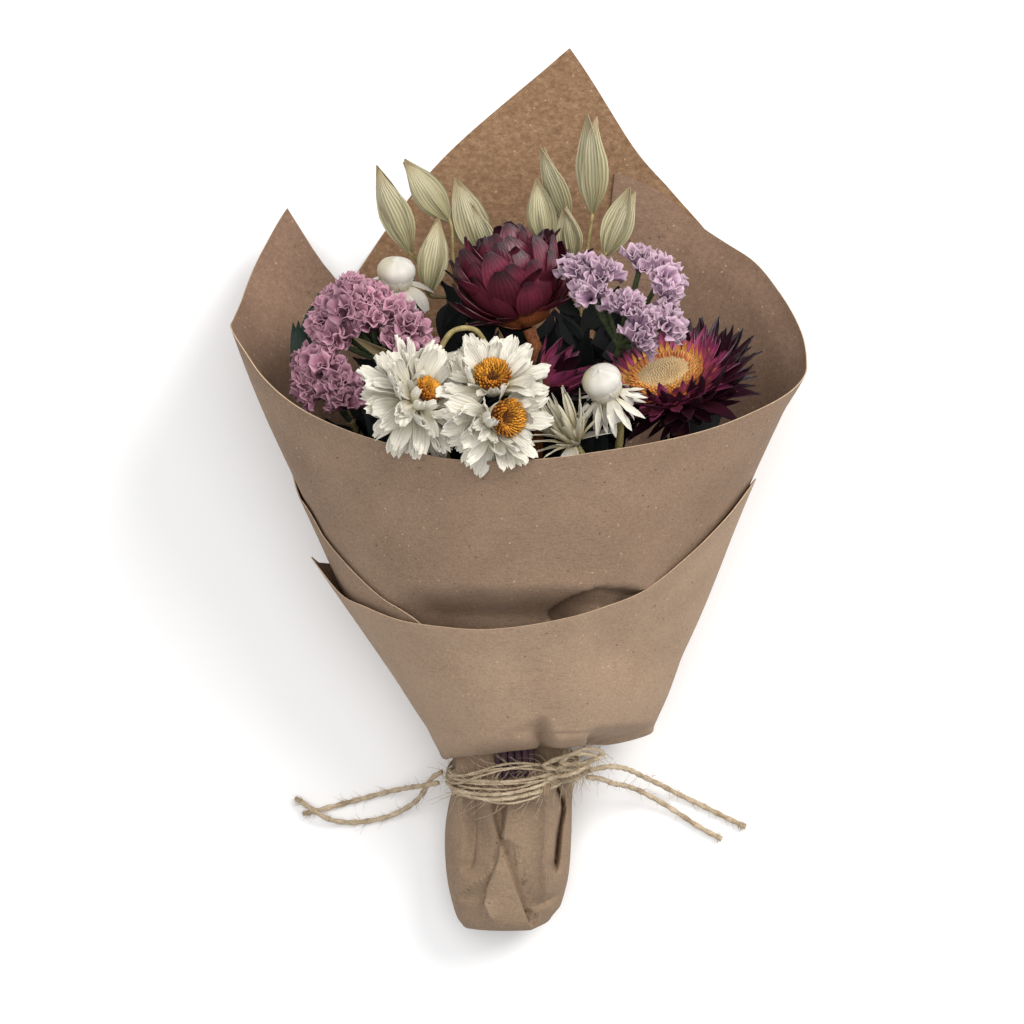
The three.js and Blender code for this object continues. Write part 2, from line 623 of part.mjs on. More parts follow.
// The twelve sides of the core: the middle of each and its five corners, as directions.
function twelveSides() {
  const faces = new THREE.IcosahedronGeometry(1, 0).getAttribute('position');
  const corner = (i) => new THREE.Vector3().fromBufferAttribute(faces, i);
  const triangles = range(0, 19, 1).map((i) => [corner(3 * i), corner(3 * i + 1), corner(3 * i + 2)]);
  const middles = [];
  for (const spot of triangles.flat()) {
    if (middles.every((other) => other.distanceTo(spot) > 0.1)) middles.push(spot);
  }
  const corners = triangles.map(([a, b, c]) => a.clone().add(b).add(c).normalize());
  return middles.map((middle) => {
    const aside = new THREE.Vector3(middle.y, -middle.z, middle.x).cross(middle).normalize();
    const other = middle.clone().cross(aside);
    const angle = (i) => Math.atan2(corners[i].dot(other), corners[i].dot(aside));
    const around = triangles.flatMap((triangle, i) => (
      triangle.some((spot) => spot.distanceTo(middle) < 0.1) ? [i] : []));
    return { middle, around: around.sort((i, j) => angle(i) - angle(j)), corners };
  });
}

function lumpGeometry(name, centre, radius, from, random) {
  const spin = new THREE.Quaternion().setFromEuler(new THREE.Euler(random(0, 6), random(0, 6), random(0, 6)));
  const sides = twelveSides();
  const turned = (way) => way.clone().applyQuaternion(spin);
  const points = sides[0].corners.map((way) => turned(way).multiplyScalar(radius * CALYX.core).add(centre));
  const triangles = [];
  for (const { middle, around, corners } of sides) {
    const way = turned(middle);
    const size = { radius: radius * CALYX.radius * random(0.86, 1.06), depth: radius * random(0.94, 1.1) };
    const frame = new THREE.Matrix4().makeBasis(...basisOn(way, turned(corners[around[0]]))).setPosition(centre);
    const fitted = way.dot(from) < 0.55 && fit(name, funnel, size, frame, 'none');
    if (!fitted) {
      for (const k of [1, 2, 3]) triangles.push(around[0], around[k], around[k + 1]);
      continue;
    }
    const rim = around.map((_, k) => points.push(new THREE.Vector3(
      fitted.radius * Math.cos(72 * k * DEG), fitted.radius * Math.sin(72 * k * DEG), size.depth,
    ).applyMatrix4(frame)) - 1);
    const hollow = points.push(way.clone().multiplyScalar(size.depth * CALYX.hollow).add(centre)) - 1;
    for (let k = 0; k < 5; k++) {
      const next = (k + 1) % 5;
      triangles.push(around[k], around[next], rim[next], around[k], rim[next], rim[k], rim[k], rim[next], hollow);
    }
  }
  return geometryOf(points, triangles);
}

function basisOn(up, towards) {
  const ahead = towards.clone().addScaledVector(up, -towards.dot(up)).normalize();
  return [ahead, up.clone().cross(ahead), up];
}

function branches(name) {
  const { at, facing, lumps } = SPRAYS[name];
  const foot = point(at);
  const fork = foot.clone().addScaledVector(point(facing).normalize(), 4);
  const root = foot.clone().lerp(fork, 0.6);
  const twigs = lumps.map(([x, y, z]) => {
    const centre = new THREE.Vector3(x, y, z);
    const middle = fork.clone().lerp(centre, 0.5).add(new THREE.Vector3(0, 0, -1.5));
    return solidOf(tube([root, fork, middle, centre], 0.8, 4, 4));
  });
  return join([solidOf(tube([foot, fork], 1.15, 6, 1)), ...twigs]);
}

function spray(name) {
  const { at, seed, lumps } = SPRAYS[name];
  const random = randomFrom(seed);
  const solids = lumps.map(([x, y, z, radius]) => {
    const centre = new THREE.Vector3(x, y, z);
    const from = point(at).sub(centre).normalize();
    return place(`${name}_lump`, solidOf(lumpGeometry(name, centre, radius, from, random)));
  });
  return join([fixed.find(({ owner }) => owner === name).solid, ...solids]);
}

// Oats: each spikelet is two boat-shaped glumes that open from the end of a thin stalk. base and tip are its two
// ends, side turns it about its own length, and open is the angle between the glumes.
const OATS = {
  oat_spray_left: {
    at: [-16, 168, 24], facing: [-0.1, 0.98, 0.12], seed: 83, fork: [-17, 180, 27],
    spikelets: [
      { base: [-28.4, 190.6, 34], tip: [-35.6, 212.4, 36], side: 20, open: 12 },
      { base: [-19, 199.4, 35], tip: [-29.6, 213.6, 38], side: 20, open: 12 },
      { base: [-13.4, 192, 29], tip: [-17.2, 210, 31], side: 200, open: 12 },
      { base: [-9, 189, 30], tip: [-12.2, 205, 31], side: 30, open: 12 },
      { base: [-23.6, 182.4, 38], tip: [-22.4, 199, 40], side: 10, open: 12 },
    ],
  },
  oat_spray_right: {
    at: [14, 168, 24], facing: [0.05, 0.98, 0.12], seed: 89, fork: [14.6, 182, 28],
    spikelets: [
      { base: [17.4, 201.4, 32], tip: [18.2, 225.2, 34], side: 90, open: 20 },
      { base: [11.4, 198.6, 27], tip: [5.8, 218, 29], side: 20, open: 10 },
      { base: [6.2, 193, 26], tip: [3, 210, 27], side: 160, open: 10 },
      { base: [20.4, 190.6, 35], tip: [27.6, 206.6, 36], side: 90, open: 20 },
      { base: [12.6, 189.4, 31], tip: [10.6, 202.6, 36], side: 40, open: 10 },
    ],
  },
};

// A spikelet from the origin along +X: one body that parts, above its first third, into two boat-shaped glumes.
function spikelet({ length, width, rise = 0, open, more = 0 }) {
  const half = width / 2 + more;
  const deep = half * 0.7;
  const thick = PETAL + 2 * more;
  const points = [[0, 0.4 + more, 0], [0, 0, 0.4 + more], [0, -0.4 - more, 0], [0, 0, -0.4 - more],
    [length * 0.3, half, 0], [length * 0.3, 0, deep], [length * 0.3, -half, 0], [length * 0.3, 0, -deep],
    [length * 0.36, 0, 0]].map(point);
  const triangles = [0, 2, 1, 0, 3, 2];
  for (let k = 0; k < 4; k++) {
    const next = (k + 1) % 4;
    triangles.push(k, next, 4 + next, k, 4 + next, 4 + k);
  }
  for (const side of [1, -1]) {
    const spread = Math.tan(open / 2 * DEG);
    const wall = (x, share) => {
      const low = spread * (x - length * 0.3);
      return [[x, half * share, low], [x, half * share * 0.9 - thick / 2, low + thick],
        [x, 0, low + deep * share - thick], [x, 0, low + deep * share], [x, -half * share * 0.9 + thick / 2,
          low + thick], [x, -half * share, low]].map(([a, b, c]) => new THREE.Vector3(a, side * b, side * c));
    };
    const [left, inLeft, inner, outer, inRight, right] = wall(length * 0.66, 0.78)
      .map((spot) => points.push(spot) - 1);
    const tip = points.push(new THREE.Vector3(length + more, 0, side * (spread * length * 0.7 + 0.6))) - 1;
    const [l, o, r, m] = side > 0 ? [4, 5, 6, 8] : [6, 7, 4, 8];
    triangles.push(l, o, outer, l, outer, left, o, r, right, o, right, outer);
    triangles.push(left, outer, tip, outer, right, tip);
    triangles.push(m, l, inLeft, m, inLeft, inner, r, m, inner, r, inner, inRight);
    triangles.push(inner, inLeft, tip, inRight, inner, tip);
    triangles.push(l, left, inLeft, right, r, inRight);
    triangles.push(left, tip, inLeft, right, inRight, tip);
  }
  return geometryOf(points, triangles).applyMatrix4(new THREE.Matrix4().makeRotationY(-rise * DEG));
}

function oatSpray(name) {
  const { at, facing, spikelets, fork } = OATS[name];
  const foot = point(at);
  const split = point(fork);
  const before = foot.clone().addScaledVector(point(facing), 4);
  const solids = [solidOf(tube([foot, before, split], 0.9, 5, 3))];
  for (const { base, tip } of spikelets) {
    const root = point(base);
    const into = root.clone().addScaledVector(point(tip).sub(root).normalize(), 2.4);
    const sag = split.clone().lerp(root, 0.55).add(new THREE.Vector3(0, 0, 1));
    solids.push(solidOf(tube([foot.clone().lerp(split, 0.8), split, sag, root, into], 0.7, 4, 5)));
  }
  for (const { base, tip, side, open } of spikelets) {
    const root = point(base);
    const length = point(tip).distanceTo(root);
    const frame = frameAt(root, point(tip).sub(root), side).multiply(new THREE.Matrix4().makeRotationY(-90 * DEG));
    solids.push(...grow(name, spikelet, { length, width: length * 0.38, open }, frame));
  }
  return join(solids);
}

// Single leaves
const LEAVES = {
  leaf_dark: {
    at: [-42, 150, 34], colour: 'leaf', stalk: [[-42, 150, 34], [-46, 158, 37], [-50, 165, 39]],
    blades: [
      { root: [-48.4, 163, 38.4], facing: [-0.45, -0.1, 0.9], heading: 74, length: 18, width: 5.4 },
      { root: [-47.6, 161, 38], facing: [-0.5, 0.1, 0.9], heading: 100, length: 14, width: 5 },
      { root: [-47, 160, 37.6], facing: [-0.3, 0, 0.95], heading: 52, length: 14, width: 5 },
    ],
  },
  leaf_dry: {
    at: [-19, 150.5, 66], colour: 'dry', stalk: [[-19, 150.5, 66], [-18.6, 155, 71], [-22, 159.4, 74]],
    blades: [
      { root: [-20.6, 158.6, 73.6], facing: [0, -0.35, 0.93], heading: 153, length: 21, width: 3.4 },
    ],
  },
};

function leafStalk({ stalk }) {
  return solidOf(tube(stalk.map(point), 0.8, 4, 4));
}

function leafSolid(name) {
  const { blades } = LEAVES[name];
  const stem = fixed.find(({ owner }) => owner === name).solid;
  const parts = blades.flatMap(({ root, facing, heading, length, width }) => {
    const up = point(facing).normalize();
    const ahead = new THREE.Vector3(Math.cos(heading * DEG), Math.sin(heading * DEG), 0);
    ahead.addScaledVector(up, -ahead.dot(up)).normalize();
    const frame = new THREE.Matrix4().makeBasis(ahead, up.clone().cross(ahead), up).setPosition(point(root));
    const size = { length, width, rise: 4, curl: -10, cup: 0.3, shape: [0.4, 0.9, 0.95, 0.55] };
    return grow(name, blade, size, frame);
  });
  return join([stem, ...parts]);
}

// Stems: each runs from the foot through the tie to the piece that it carries, and they all touch at the tie.
// The bent one ends in an arch over the pink statice.
const BENT_STEM = [[-21.6, 157, 66], [-20.4, 163, 70.4], [-16.6, 168, 72], [-12, 167.6, 71.4], [-10.4, 163.6, 69.6]];

function stemSolids() {
  const carried = [...Object.values(HEADS), ...Object.values(SPRAYS), ...Object.values(OATS)]
    .map(({ at, facing }) => ({ end: point(at), way: point(facing).normalize() }));
  for (const { stalk } of Object.values(LEAVES)) {
    const [end, next] = stalk.map(point);
    carried.push({ end, way: next.sub(end).normalize() });
  }
  carried.push({ end: point(BENT_STEM[0]), way: point(BENT_STEM[1]).sub(point(BENT_STEM[0])).normalize() });
  const centre = new THREE.Vector3(NECK.x, NECK.y, NECK.z);
  const angleOf = ({ end }) => Math.atan2(end.z - NECK.z - (end.y - NECK.y) * 0.33, end.x - NECK.x);
  const sorted = carried.map((one) => ({ ...one, angle: angleOf(one) })).sort((a, b) => a.angle - b.angle);
  const solids = [solidOf(dome([[0, -BUNDLE.coreLength / 2], [BUNDLE.core, -BUNDLE.coreLength / 2],
    [BUNDLE.core, BUNDLE.coreLength / 2], [0, BUNDLE.coreLength / 2]], 10)
    .rotateX(-90 * DEG).translate(centre.x, centre.y, centre.z))];
  sorted.forEach(({ end, way }, i) => {
    const spread = i % 3 === 1 ? BUNDLE.inner : BUNDLE.radius;
    const angle = -Math.PI + 2 * Math.PI * (i + 0.5) / sorted.length;
    const aside = new THREE.Vector3(Math.cos(angle), 0, Math.sin(angle)).multiplyScalar(spread);
    const foot = new THREE.Vector3(-4, 24.5 + (i % 4) * 1.6, 12).addScaledVector(aside, 1.05);
    const neck = centre.clone().add(aside);
    neck.y += NECK.lean * aside.z / BUNDLE.radius;
    const [below, above] = [-NECK.half, NECK.half].map((step) => neck.clone().setY(neck.y + step));
    const stop = end.clone().addScaledVector(way, -CLEAR);
    const near = stop.clone().addScaledVector(way, -7);
    const far = above.clone().lerp(near, 0.5);
    far.z -= 2;
    const path = new THREE.CatmullRomCurve3([foot, below, above, far, near, stop], false, 'centripetal');
    const places = [0, 1, 2, 2.5, 3, 3.5, 4, 5].map((k) => path.getPoint(k / 5));
    solids.push(solidOf(rod(places, BUNDLE.stem, 4)));
  });
  solids.push(solidOf(tube(BENT_STEM.map(point), 0.8, 4, 7)));
  return join(solids);
}

// Twine: turns round the neck, the knot and the four free ends
const BINDING = [
  { y: -0.6, sway: 1.2, phase: 20, radius: 16.25 },
  { y: 0.6, sway: 1.2, phase: 200, radius: 16.25 },
  { y: 0, sway: 1.3, phase: 110, radius: 17.3 },
];
const KNOT = [[[8.4, 60.6, 32.2], [13.6, 61.4, 31.4], [15.6, 59.6, 27.8], [11.2, 58, 28.6]],
  [[7.2, 58.8, 32.6], [12.2, 59.2, 33.2], [15.8, 61, 29.4], [12.6, 58.4, 26.4]]];
const TAILS = {
  twine_tail_left_a: [[-21.75, 57.4, 19.8], [-23.9, 56.8, 18], [-26.2, 56.2, 14.4], [-28.4, 55.6, 9.6],
    [-31, 54.8, 5], [-35, 53.8, 2.2], [-40, 52.4, 1.3], [-46, 50.8, 1.2], [-52, 49.2, 1.2], [-57.2, 48, 1.2]],
  twine_tail_left_b: [[-20.8, 59.9, 15.8], [-23.3, 58.2, 13.4], [-25.2, 55, 10.4], [-27.6, 51.8, 6.8],
    [-31.4, 49, 3.2], [-36, 47, 1.6], [-41, 46, 1.2], [-46, 45.8, 1.6], [-50.4, 46.8, 3.2], [-53.6, 48.6, 3.7],
    [-56.2, 50.4, 3], [-59, 52, 1.3]],
  twine_tail_right_a: [[16.75, 61.2, 29.5], [20.4, 61.8, 27.2], [24, 61.4, 21], [27.4, 60.2, 14.8],
    [31.2, 58, 8.6], [35.8, 55.6, 4.2], [40.6, 53, 1.8], [46, 50.4, 1.2], [52, 47.4, 1.2], [57.8, 44.6, 1.2]],
  twine_tail_right_b: [[16.2, 59.3, 26.6], [19.6, 58.6, 23.4], [23, 57, 17.8], [26.4, 56, 12.2],
    [30.4, 54.2, 6.8], [35.2, 51.4, 3], [40, 48.4, 1.5], [45.4, 44.8, 1.2], [51.6, 41.4, 1.2]],
};

function twineBinding() {
  const around = 15;
  const solids = BINDING.map(({ y, sway, phase, radius }) => {
    const points = Array.from({ length: around }, (_, i) => {
      const angle = 360 * i / around;
      const [side, up] = [Math.sin(angle * DEG), -Math.cos(angle * DEG)];
      const along = y + sway * Math.cos((angle - phase) * DEG) + NECK.tilt * side + NECK.lean * up;
      return new THREE.Vector3(NECK.x + radius * side, NECK.y + along, NECK.z + radius * up);
    });
    return solidOf(loop(points, TWINE.radius, 4, around));
  });
  for (const points of KNOT) solids.push(solidOf(loop(points.map(point), TWINE.radius, 4, 8)));
  return join(solids);
}

// Assembly

const bouquet = new THREE.Group();
bouquet.position.copy(APEX);

function addMesh(name, geometry, colour, roughness = 0.85) {
  const material = new THREE.MeshStandardMaterial({ color: COLOURS[colour], roughness, metalness: 0 });
  const mesh = new THREE.Mesh(geometry, material);
  mesh.name = name;
  bouquet.add(mesh);
}

function addSolid(name, solid, colour, roughness) {
  addMesh(name, geometryFrom(solid), colour, roughness);
}

const papers = {
  paper_back: [paperBack(), 'kraftRough'],
  paper_front: [paperFront(), 'kraftSmooth'],
  paper_collar: [paperCollar(), 'kraftCollar'],
};
for (const [name, [geometry, colour]] of Object.entries(papers)) {
  place(name, solidOf(geometry));
  addMesh(name, geometry, colour);
}

addSolid('stem_bundle', place('stem_bundle', stemSolids()), 'stem');
addSolid('twine_binding', place('twine_binding', twineBinding()), 'twine');
for (const [name, points] of Object.entries(TAILS)) {
  const geometry = tube(points.map(point), TWINE.radius, TWINE.sides, points.length);
  place(name, solidOf(geometry));
  addMesh(name, geometry, 'twine');
}

for (const [name, head] of Object.entries(HEADS)) place(name, headCore(head));
for (const [name, leaf] of Object.entries(LEAVES)) place(name, leafStalk(leaf));
for (const name of Object.keys(SPRAYS)) place(name, branches(name));
for (const [name, disc] of Object.entries(DISCS)) {
  const geometry = discOn(disc);
  place(name, solidOf(geometry));
  addMesh(name, geometry, disc.colour);
}
for (const name of Object.keys(OATS)) addSolid(name, place(name, oatSpray(name)), 'oat');
for (const [name, head] of Object.entries(HEADS)) {
  const geometry = headGeometry(name);
  place(name, solidOf(geometry));
  addMesh(name, geometry, head.colour, 0.5);
}
for (const [name, { colour }] of Object.entries(SPRAYS)) addSolid(name, place(name, spray(name)), colour);
for (const [name, { colour }] of Object.entries(LEAVES)) addSolid(name, place(name, leafSolid(name)), colour);

export default bouquet;
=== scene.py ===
# %% [markdown]
# # A small bouquet of dried flowers in kraft paper
#
# The real thing is a hand-sized bunch of dried flowers, rolled in three sheets of brown paper and tied with
# jute. It lies on its back on a pale table and we look straight down on it. A lesson could start from one big
# sculpt, but a bouquet is many thin things that repeat, so each kind of petal is modelled once, by hand, and
# then copied round its head. The part's own solids are loaded first, because every piece here has to sit
# where they are.

# %% Load the part and keep its size
import json
import math
import random

import bmesh
import bpy
import numpy as np
from mathutils import Matrix, Vector, noise

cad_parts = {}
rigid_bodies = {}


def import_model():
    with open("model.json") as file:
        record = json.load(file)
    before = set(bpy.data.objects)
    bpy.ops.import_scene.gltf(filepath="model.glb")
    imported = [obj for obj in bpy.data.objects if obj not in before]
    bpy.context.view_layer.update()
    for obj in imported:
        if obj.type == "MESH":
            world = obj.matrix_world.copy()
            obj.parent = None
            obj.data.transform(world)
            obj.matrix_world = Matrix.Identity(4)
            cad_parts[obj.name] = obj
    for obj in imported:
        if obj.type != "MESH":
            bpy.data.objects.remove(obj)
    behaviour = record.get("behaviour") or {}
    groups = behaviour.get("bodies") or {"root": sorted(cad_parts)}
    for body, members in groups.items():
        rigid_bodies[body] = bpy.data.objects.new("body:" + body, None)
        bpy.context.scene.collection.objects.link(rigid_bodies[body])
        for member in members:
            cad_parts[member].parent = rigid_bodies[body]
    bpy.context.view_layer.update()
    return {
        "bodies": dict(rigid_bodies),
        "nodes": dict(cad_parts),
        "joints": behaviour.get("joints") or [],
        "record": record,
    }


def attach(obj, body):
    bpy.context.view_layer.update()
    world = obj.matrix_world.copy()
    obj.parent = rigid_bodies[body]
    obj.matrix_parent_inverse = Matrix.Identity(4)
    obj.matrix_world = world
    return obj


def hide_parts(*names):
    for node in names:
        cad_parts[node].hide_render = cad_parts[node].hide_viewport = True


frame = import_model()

# %% [markdown]
# ## Millimetres along the bouquet
#
# Whoever rolls paper round flowers thinks of a cone: how far along it, and how far round it. So all sizes
# below are in millimetres from the point on the table where the sides of the cone would meet, with x to the
# right, y along the bouquet and z up. One small helper turns them into the scene's metres.

# %% From the cone's millimetres to the scene's metres
MM = 0.001
CONE_FOOT = Vector((1.3, -133.1, 0.0))


def spot(place):
    """A point in the cone's millimetres as a point of the scene."""
    return (Vector(place) + CONE_FOOT) * MM


def clear_selection():
    """Goes to object mode and deselects everything, because an operator acts on all that is selected."""
    if bpy.context.object and bpy.context.object.mode != "OBJECT":
        bpy.ops.object.mode_set(mode="OBJECT")
    bpy.ops.object.select_all(action="DESELECT")


print("the tip of the paper is at", [round(x, 4) for x in spot((10, 247, 0))])

# %% [markdown]
# ## Camera
#
# The photograph looks straight down, so the camera hangs a metre above the table and isn't turned at all. A
# long lens keeps the high flowers from growing towards the edges, as a photographer would choose for a flat
# lay.

# %% Hang the camera over the table
bpy.ops.object.camera_add(location=(-0.00156, -0.00672, 1.0), rotation=(0, 0, 0))
camera = bpy.context.object
camera.name = "view_from_above"
camera.data.sensor_width = 36
camera.data.lens = 135.2
bpy.context.scene.camera = camera
print("camera field of view in degrees:", round(math.degrees(camera.data.angle), 2))

# %% [markdown]
# ## Table and light
#
# The table is a pale, matt surface with hardly any tone of its own. It could be a bent paper sweep, but from
# above only its flat part shows. The light is that of a bright room: a soft window at the upper right, a
# wider one high above, and a room that is bright on all sides, which keeps the shadows open.

# %% Table
clear_selection()
bpy.ops.mesh.primitive_plane_add(size=6, location=(0, 0, -0.0002))
table = bpy.context.object
table.name = "pale_table"
print(table.name, "is", table.dimensions.x, "m wide")

# %% Windows and room
def window(name, place, size, watts, colour):
    """A soft window that looks at the middle of the bouquet."""
    bpy.ops.object.light_add(type="AREA", location=place)
    lamp = bpy.context.object
    lamp.name = name
    lamp.data.shape = "DISK"
    lamp.data.size = size
    lamp.data.energy = watts
    lamp.data.color = colour
    lamp.rotation_euler = (Vector((0, 0, 0.03)) - Vector(place)).to_track_quat("-Z", "Y").to_euler()


window("window_upper_right", (0.8, 0.7, 1.05), 0.8, 15.0, (1.0, 0.98, 0.95))
window("soft_sky", (-0.15, 0.2, 1.7), 1.6, 18.5, (1.0, 0.99, 0.98))
room = bpy.data.worlds.new("bright_room")
room.use_nodes = True
room.node_tree.nodes["Background"].inputs["Color"].default_value = (0.97, 0.98, 1.0, 1.0)
room.node_tree.nodes["Background"].inputs["Strength"].default_value = 0.5
bpy.context.scene.world = room
bpy.context.scene.view_settings.view_transform = "Standard"

# %% [markdown]
# ## Finishes
#
# A finish is built from a few nodes, so two short helpers keep the recipes readable: one adds a node and
# joins or sets its sockets, one turns a colour as it is read off a screen, 0 to 255, into the linear colour
# that a shader wants. Image textures would be quicker, but nodes stay sharp at any distance and need no
# files.

# %% Helpers for finishes
def paint(red, green, blue):
    """A screen colour, 0 to 255, as a shader's linear colour."""
    return tuple(((c / 255 + 0.055) / 1.055) ** 2.4 if c > 10 else c / 255 / 12.92
                 for c in (red, green, blue)) + (1,)


def add(tree, kind, settings=None, **sockets):
    """Adds a node. A socket's value is a number, a colour or the output that it is joined to."""
    made = tree.nodes.new(kind)
    for name, value in (settings or {}).items():
        setattr(made, name, value)
    for name, value in sockets.items():
        socket = made.inputs[int(name[1:])] if name[0] == "_" else made.inputs[name.replace("_", " ")]
        if isinstance(value, bpy.types.NodeSocket):
            tree.links.new(value, socket)
        else:
            socket.default_value = value
    return made


def maths(tree, operation, first, second=0.0, third=0.0):
    """The output of a sum on two numbers, or on three where the operation takes three."""
    return add(tree, "ShaderNodeMath", {"operation": operation}, _0=first, _1=second, _2=third).outputs[0]


def blended(tree, share, first, second, how="MIX"):
    """The output of a mix of two colours."""
    mix = add(tree, "ShaderNodeMix", {"data_type": "RGBA", "blend_type": how}, _0=share, _6=first, _7=second)
    return mix.outputs[2]


def ramp(tree, share, stops):
    """The output of a colour ramp. stops are pairs of place and colour."""
    made = add(tree, "ShaderNodeValToRGB", Fac=share)
    while len(made.color_ramp.elements) < len(stops):
        made.color_ramp.elements.new(0.5)
    for element, (place, colour) in zip(made.color_ramp.elements, stops):
        element.position = place
        element.color = colour
    return made.outputs[0]


def grey(value):
    """A grey for a ramp that makes a mask."""
    return (value, value, value, 1)


def finish(name, roughness, specular=0.3):
    """A new material, with its node tree and its shader."""
    material = bpy.data.materials.new(name)
    material.use_nodes = True
    shader = material.node_tree.nodes["Principled BSDF"]
    shader.inputs["Roughness"].default_value = roughness
    shader.inputs["Specular IOR Level"].default_value = specular
    return material, material.node_tree, shader


def dress(tree, shader, colour, height, strength, depth):
    """Joins the colour to the shader, and the height as a bump that many metres deep."""
    tree.links.new(colour, shader.inputs["Base Color"])
    bump = add(tree, "ShaderNodeBump", Height=height, Strength=strength, Distance=depth)
    tree.links.new(bump.outputs["Normal"], shader.inputs["Normal"])


def group(name, inputs, outputs):
    """A new node group with its sockets. Returns the tree, its input node and its output node."""
    tree = bpy.data.node_groups.new(name, "ShaderNodeTree")
    for title, kind in inputs:
        tree.interface.new_socket(title, in_out="INPUT", socket_type=f"NodeSocket{kind}")
    for title, kind in outputs:
        tree.interface.new_socket(title, in_out="OUTPUT", socket_type=f"NodeSocket{kind}")
    return tree, tree.nodes.new("NodeGroupInput"), tree.nodes.new("NodeGroupOutput")


def give(tree, leave, values):
    """Joins each value to the group's output of that name."""
    for title, value in values.items():
        tree.links.new(value, leave.inputs[title])


# %% [markdown]
# The table gets the first finish. A flat white would look like paper cut out, so a faint cloudiness in its
# tone and gloss is enough to make it a surface.

# %% Table finish
table_finish, tree, shader = finish("matt_table", 0.75, 0.2)
cloud = add(tree, "ShaderNodeTexNoise", Vector=add(tree, "ShaderNodeTexCoord").outputs["Object"], Scale=9.0)
tree.links.new(ramp(tree, cloud.outputs["Fac"], [(0.3, grey(0.92)), (0.7, grey(0.94))]),
               shader.inputs["Base Color"])
table.data.materials.append(table_finish)
print(table_finish.name, "has", len(tree.nodes), "nodes")

# %% [markdown]
# ## Jute finish
#
# Jute twine is two hairy yarns turned round each other. Its colour changes along the fibres, from straw to a
# greyish brown, and it has no shine. The turns are modelled, so the finish only needs fine fibres: a noise in
# the piece's own space, stretched by nothing, because the yarn runs in every direction round the neck.

# %% Fine fibres, as a group that twine, stems and leaves share
fibres, entry, leave = group(
    "fine fibres",
    [("Place", "Vector"), ("Size", "Float")],
    [("Fine", "Float"), ("Patches", "Float"), ("Height", "Float")],
)
fine = add(fibres, "ShaderNodeTexNoise", Vector=entry.outputs["Place"], Scale=entry.outputs["Size"],
           Detail=4.0)
wide = add(fibres, "ShaderNodeTexNoise", Vector=entry.outputs["Place"],
           Scale=maths(fibres, "MULTIPLY", entry.outputs["Size"], 0.12), Detail=2.0)
height = maths(fibres, "ADD", fine.outputs["Fac"], maths(fibres, "MULTIPLY", wide.outputs["Fac"], 0.4))
give(fibres, leave, {"Fine": fine.outputs["Fac"], "Patches": wide.outputs["Fac"], "Height": height})


def fibrous(name, dark, light, size=2600.0, roughness=0.85, depth=0.00012):
    """A dry fibrous finish between two colours."""
    material, tree, shader = finish(name, roughness, 0.2)
    place = add(tree, "ShaderNodeTexCoord").outputs["Object"]
    made = add(tree, "ShaderNodeGroup", {"node_tree": fibres}, Place=place, Size=size)
    share = maths(tree, "ADD", maths(tree, "MULTIPLY", made.outputs["Fine"], 0.55),
                  maths(tree, "MULTIPLY", made.outputs["Patches"], 0.45))
    colour = ramp(tree, share, [(0.36, paint(*dark)), (0.64, paint(*light))])
    dress(tree, shader, colour, made.outputs["Height"], 0.7, depth)
    return material


jute = fibrous("jute_yarn", (140, 120, 96), (202, 185, 158))
print(jute.name, "has", len(jute.node_tree.nodes), "nodes round the shared group's", len(fibres.nodes))

# %% [markdown]
# ## Twine
#
# The ends of the twine lie loose on the table. A round tube would read as wire. A curve with a profile that
# has a waist, and that turns as it goes, gives two yarns laid round each other, which is how twine is made.
# The line is the same as the part's, because the loose ends are real lengths of cord.

# %% A smooth line through points
def smooth_line(points, step, closed=False):
    """Points about a step apart on the smooth curve through the given ones, all in millimetres."""
    given = [Vector(point) for point in points]
    if closed:
        given = [given[-1]] + given + given[:2]
    else:
        given = [2 * given[0] - given[1]] + given + [2 * given[-1] - given[-2]]
    line = []
    for before, start, end, after in zip(given, given[1:], given[2:], given[3:]):
        spans = [max((b - a).length ** 0.5, 1e-4) for a, b in ((before, start), (start, end), (end, after))]
        first, span, last = spans
        leave = ((start - before) / first - (end - before) / (first + span) + (end - start) / span) * span
        reach = ((end - start) / span - (after - start) / (span + last) + (after - end) / last) * span
        count = max(1, round((end - start).length / step))
        for i in range(count):
            t = i / count
            line.append((2 * t ** 3 - 3 * t ** 2 + 1) * start + (t ** 3 - 2 * t ** 2 + t) * leave
                        + (3 * t ** 2 - 2 * t ** 3) * end + (t ** 3 - t ** 2) * reach)
    if not closed:
        line.append(given[-2])
    return line


# %% Yarn profile
clear_selection()
bpy.ops.curve.primitive_bezier_circle_add(radius=MM)
yarn_profile = bpy.context.object
yarn_profile.name = "yarn_profile"
yarn_profile.data.resolution_u = 3
WAIST = 0.74  # how narrow the profile is between the two yarns, as a share of its width
for side in (1, 3):
    corner = yarn_profile.data.splines[0].bezier_points[side]
    corner.co *= WAIST
    corner.handle_left.y *= WAIST
    corner.handle_right.y *= WAIST


def empty_curve(name):
    """A new curve with no line in it yet."""
    clear_selection()
    bpy.ops.curve.primitive_nurbs_path_add()
    piece = bpy.context.object
    piece.name = name
    piece.data.splines.clear()
    return piece


def meshed(piece, material):
    """The curve as a mesh, in one finish."""
    bpy.ops.object.convert(target="MESH")
    piece.data.materials.clear()
    piece.data.materials.append(material)
    return piece


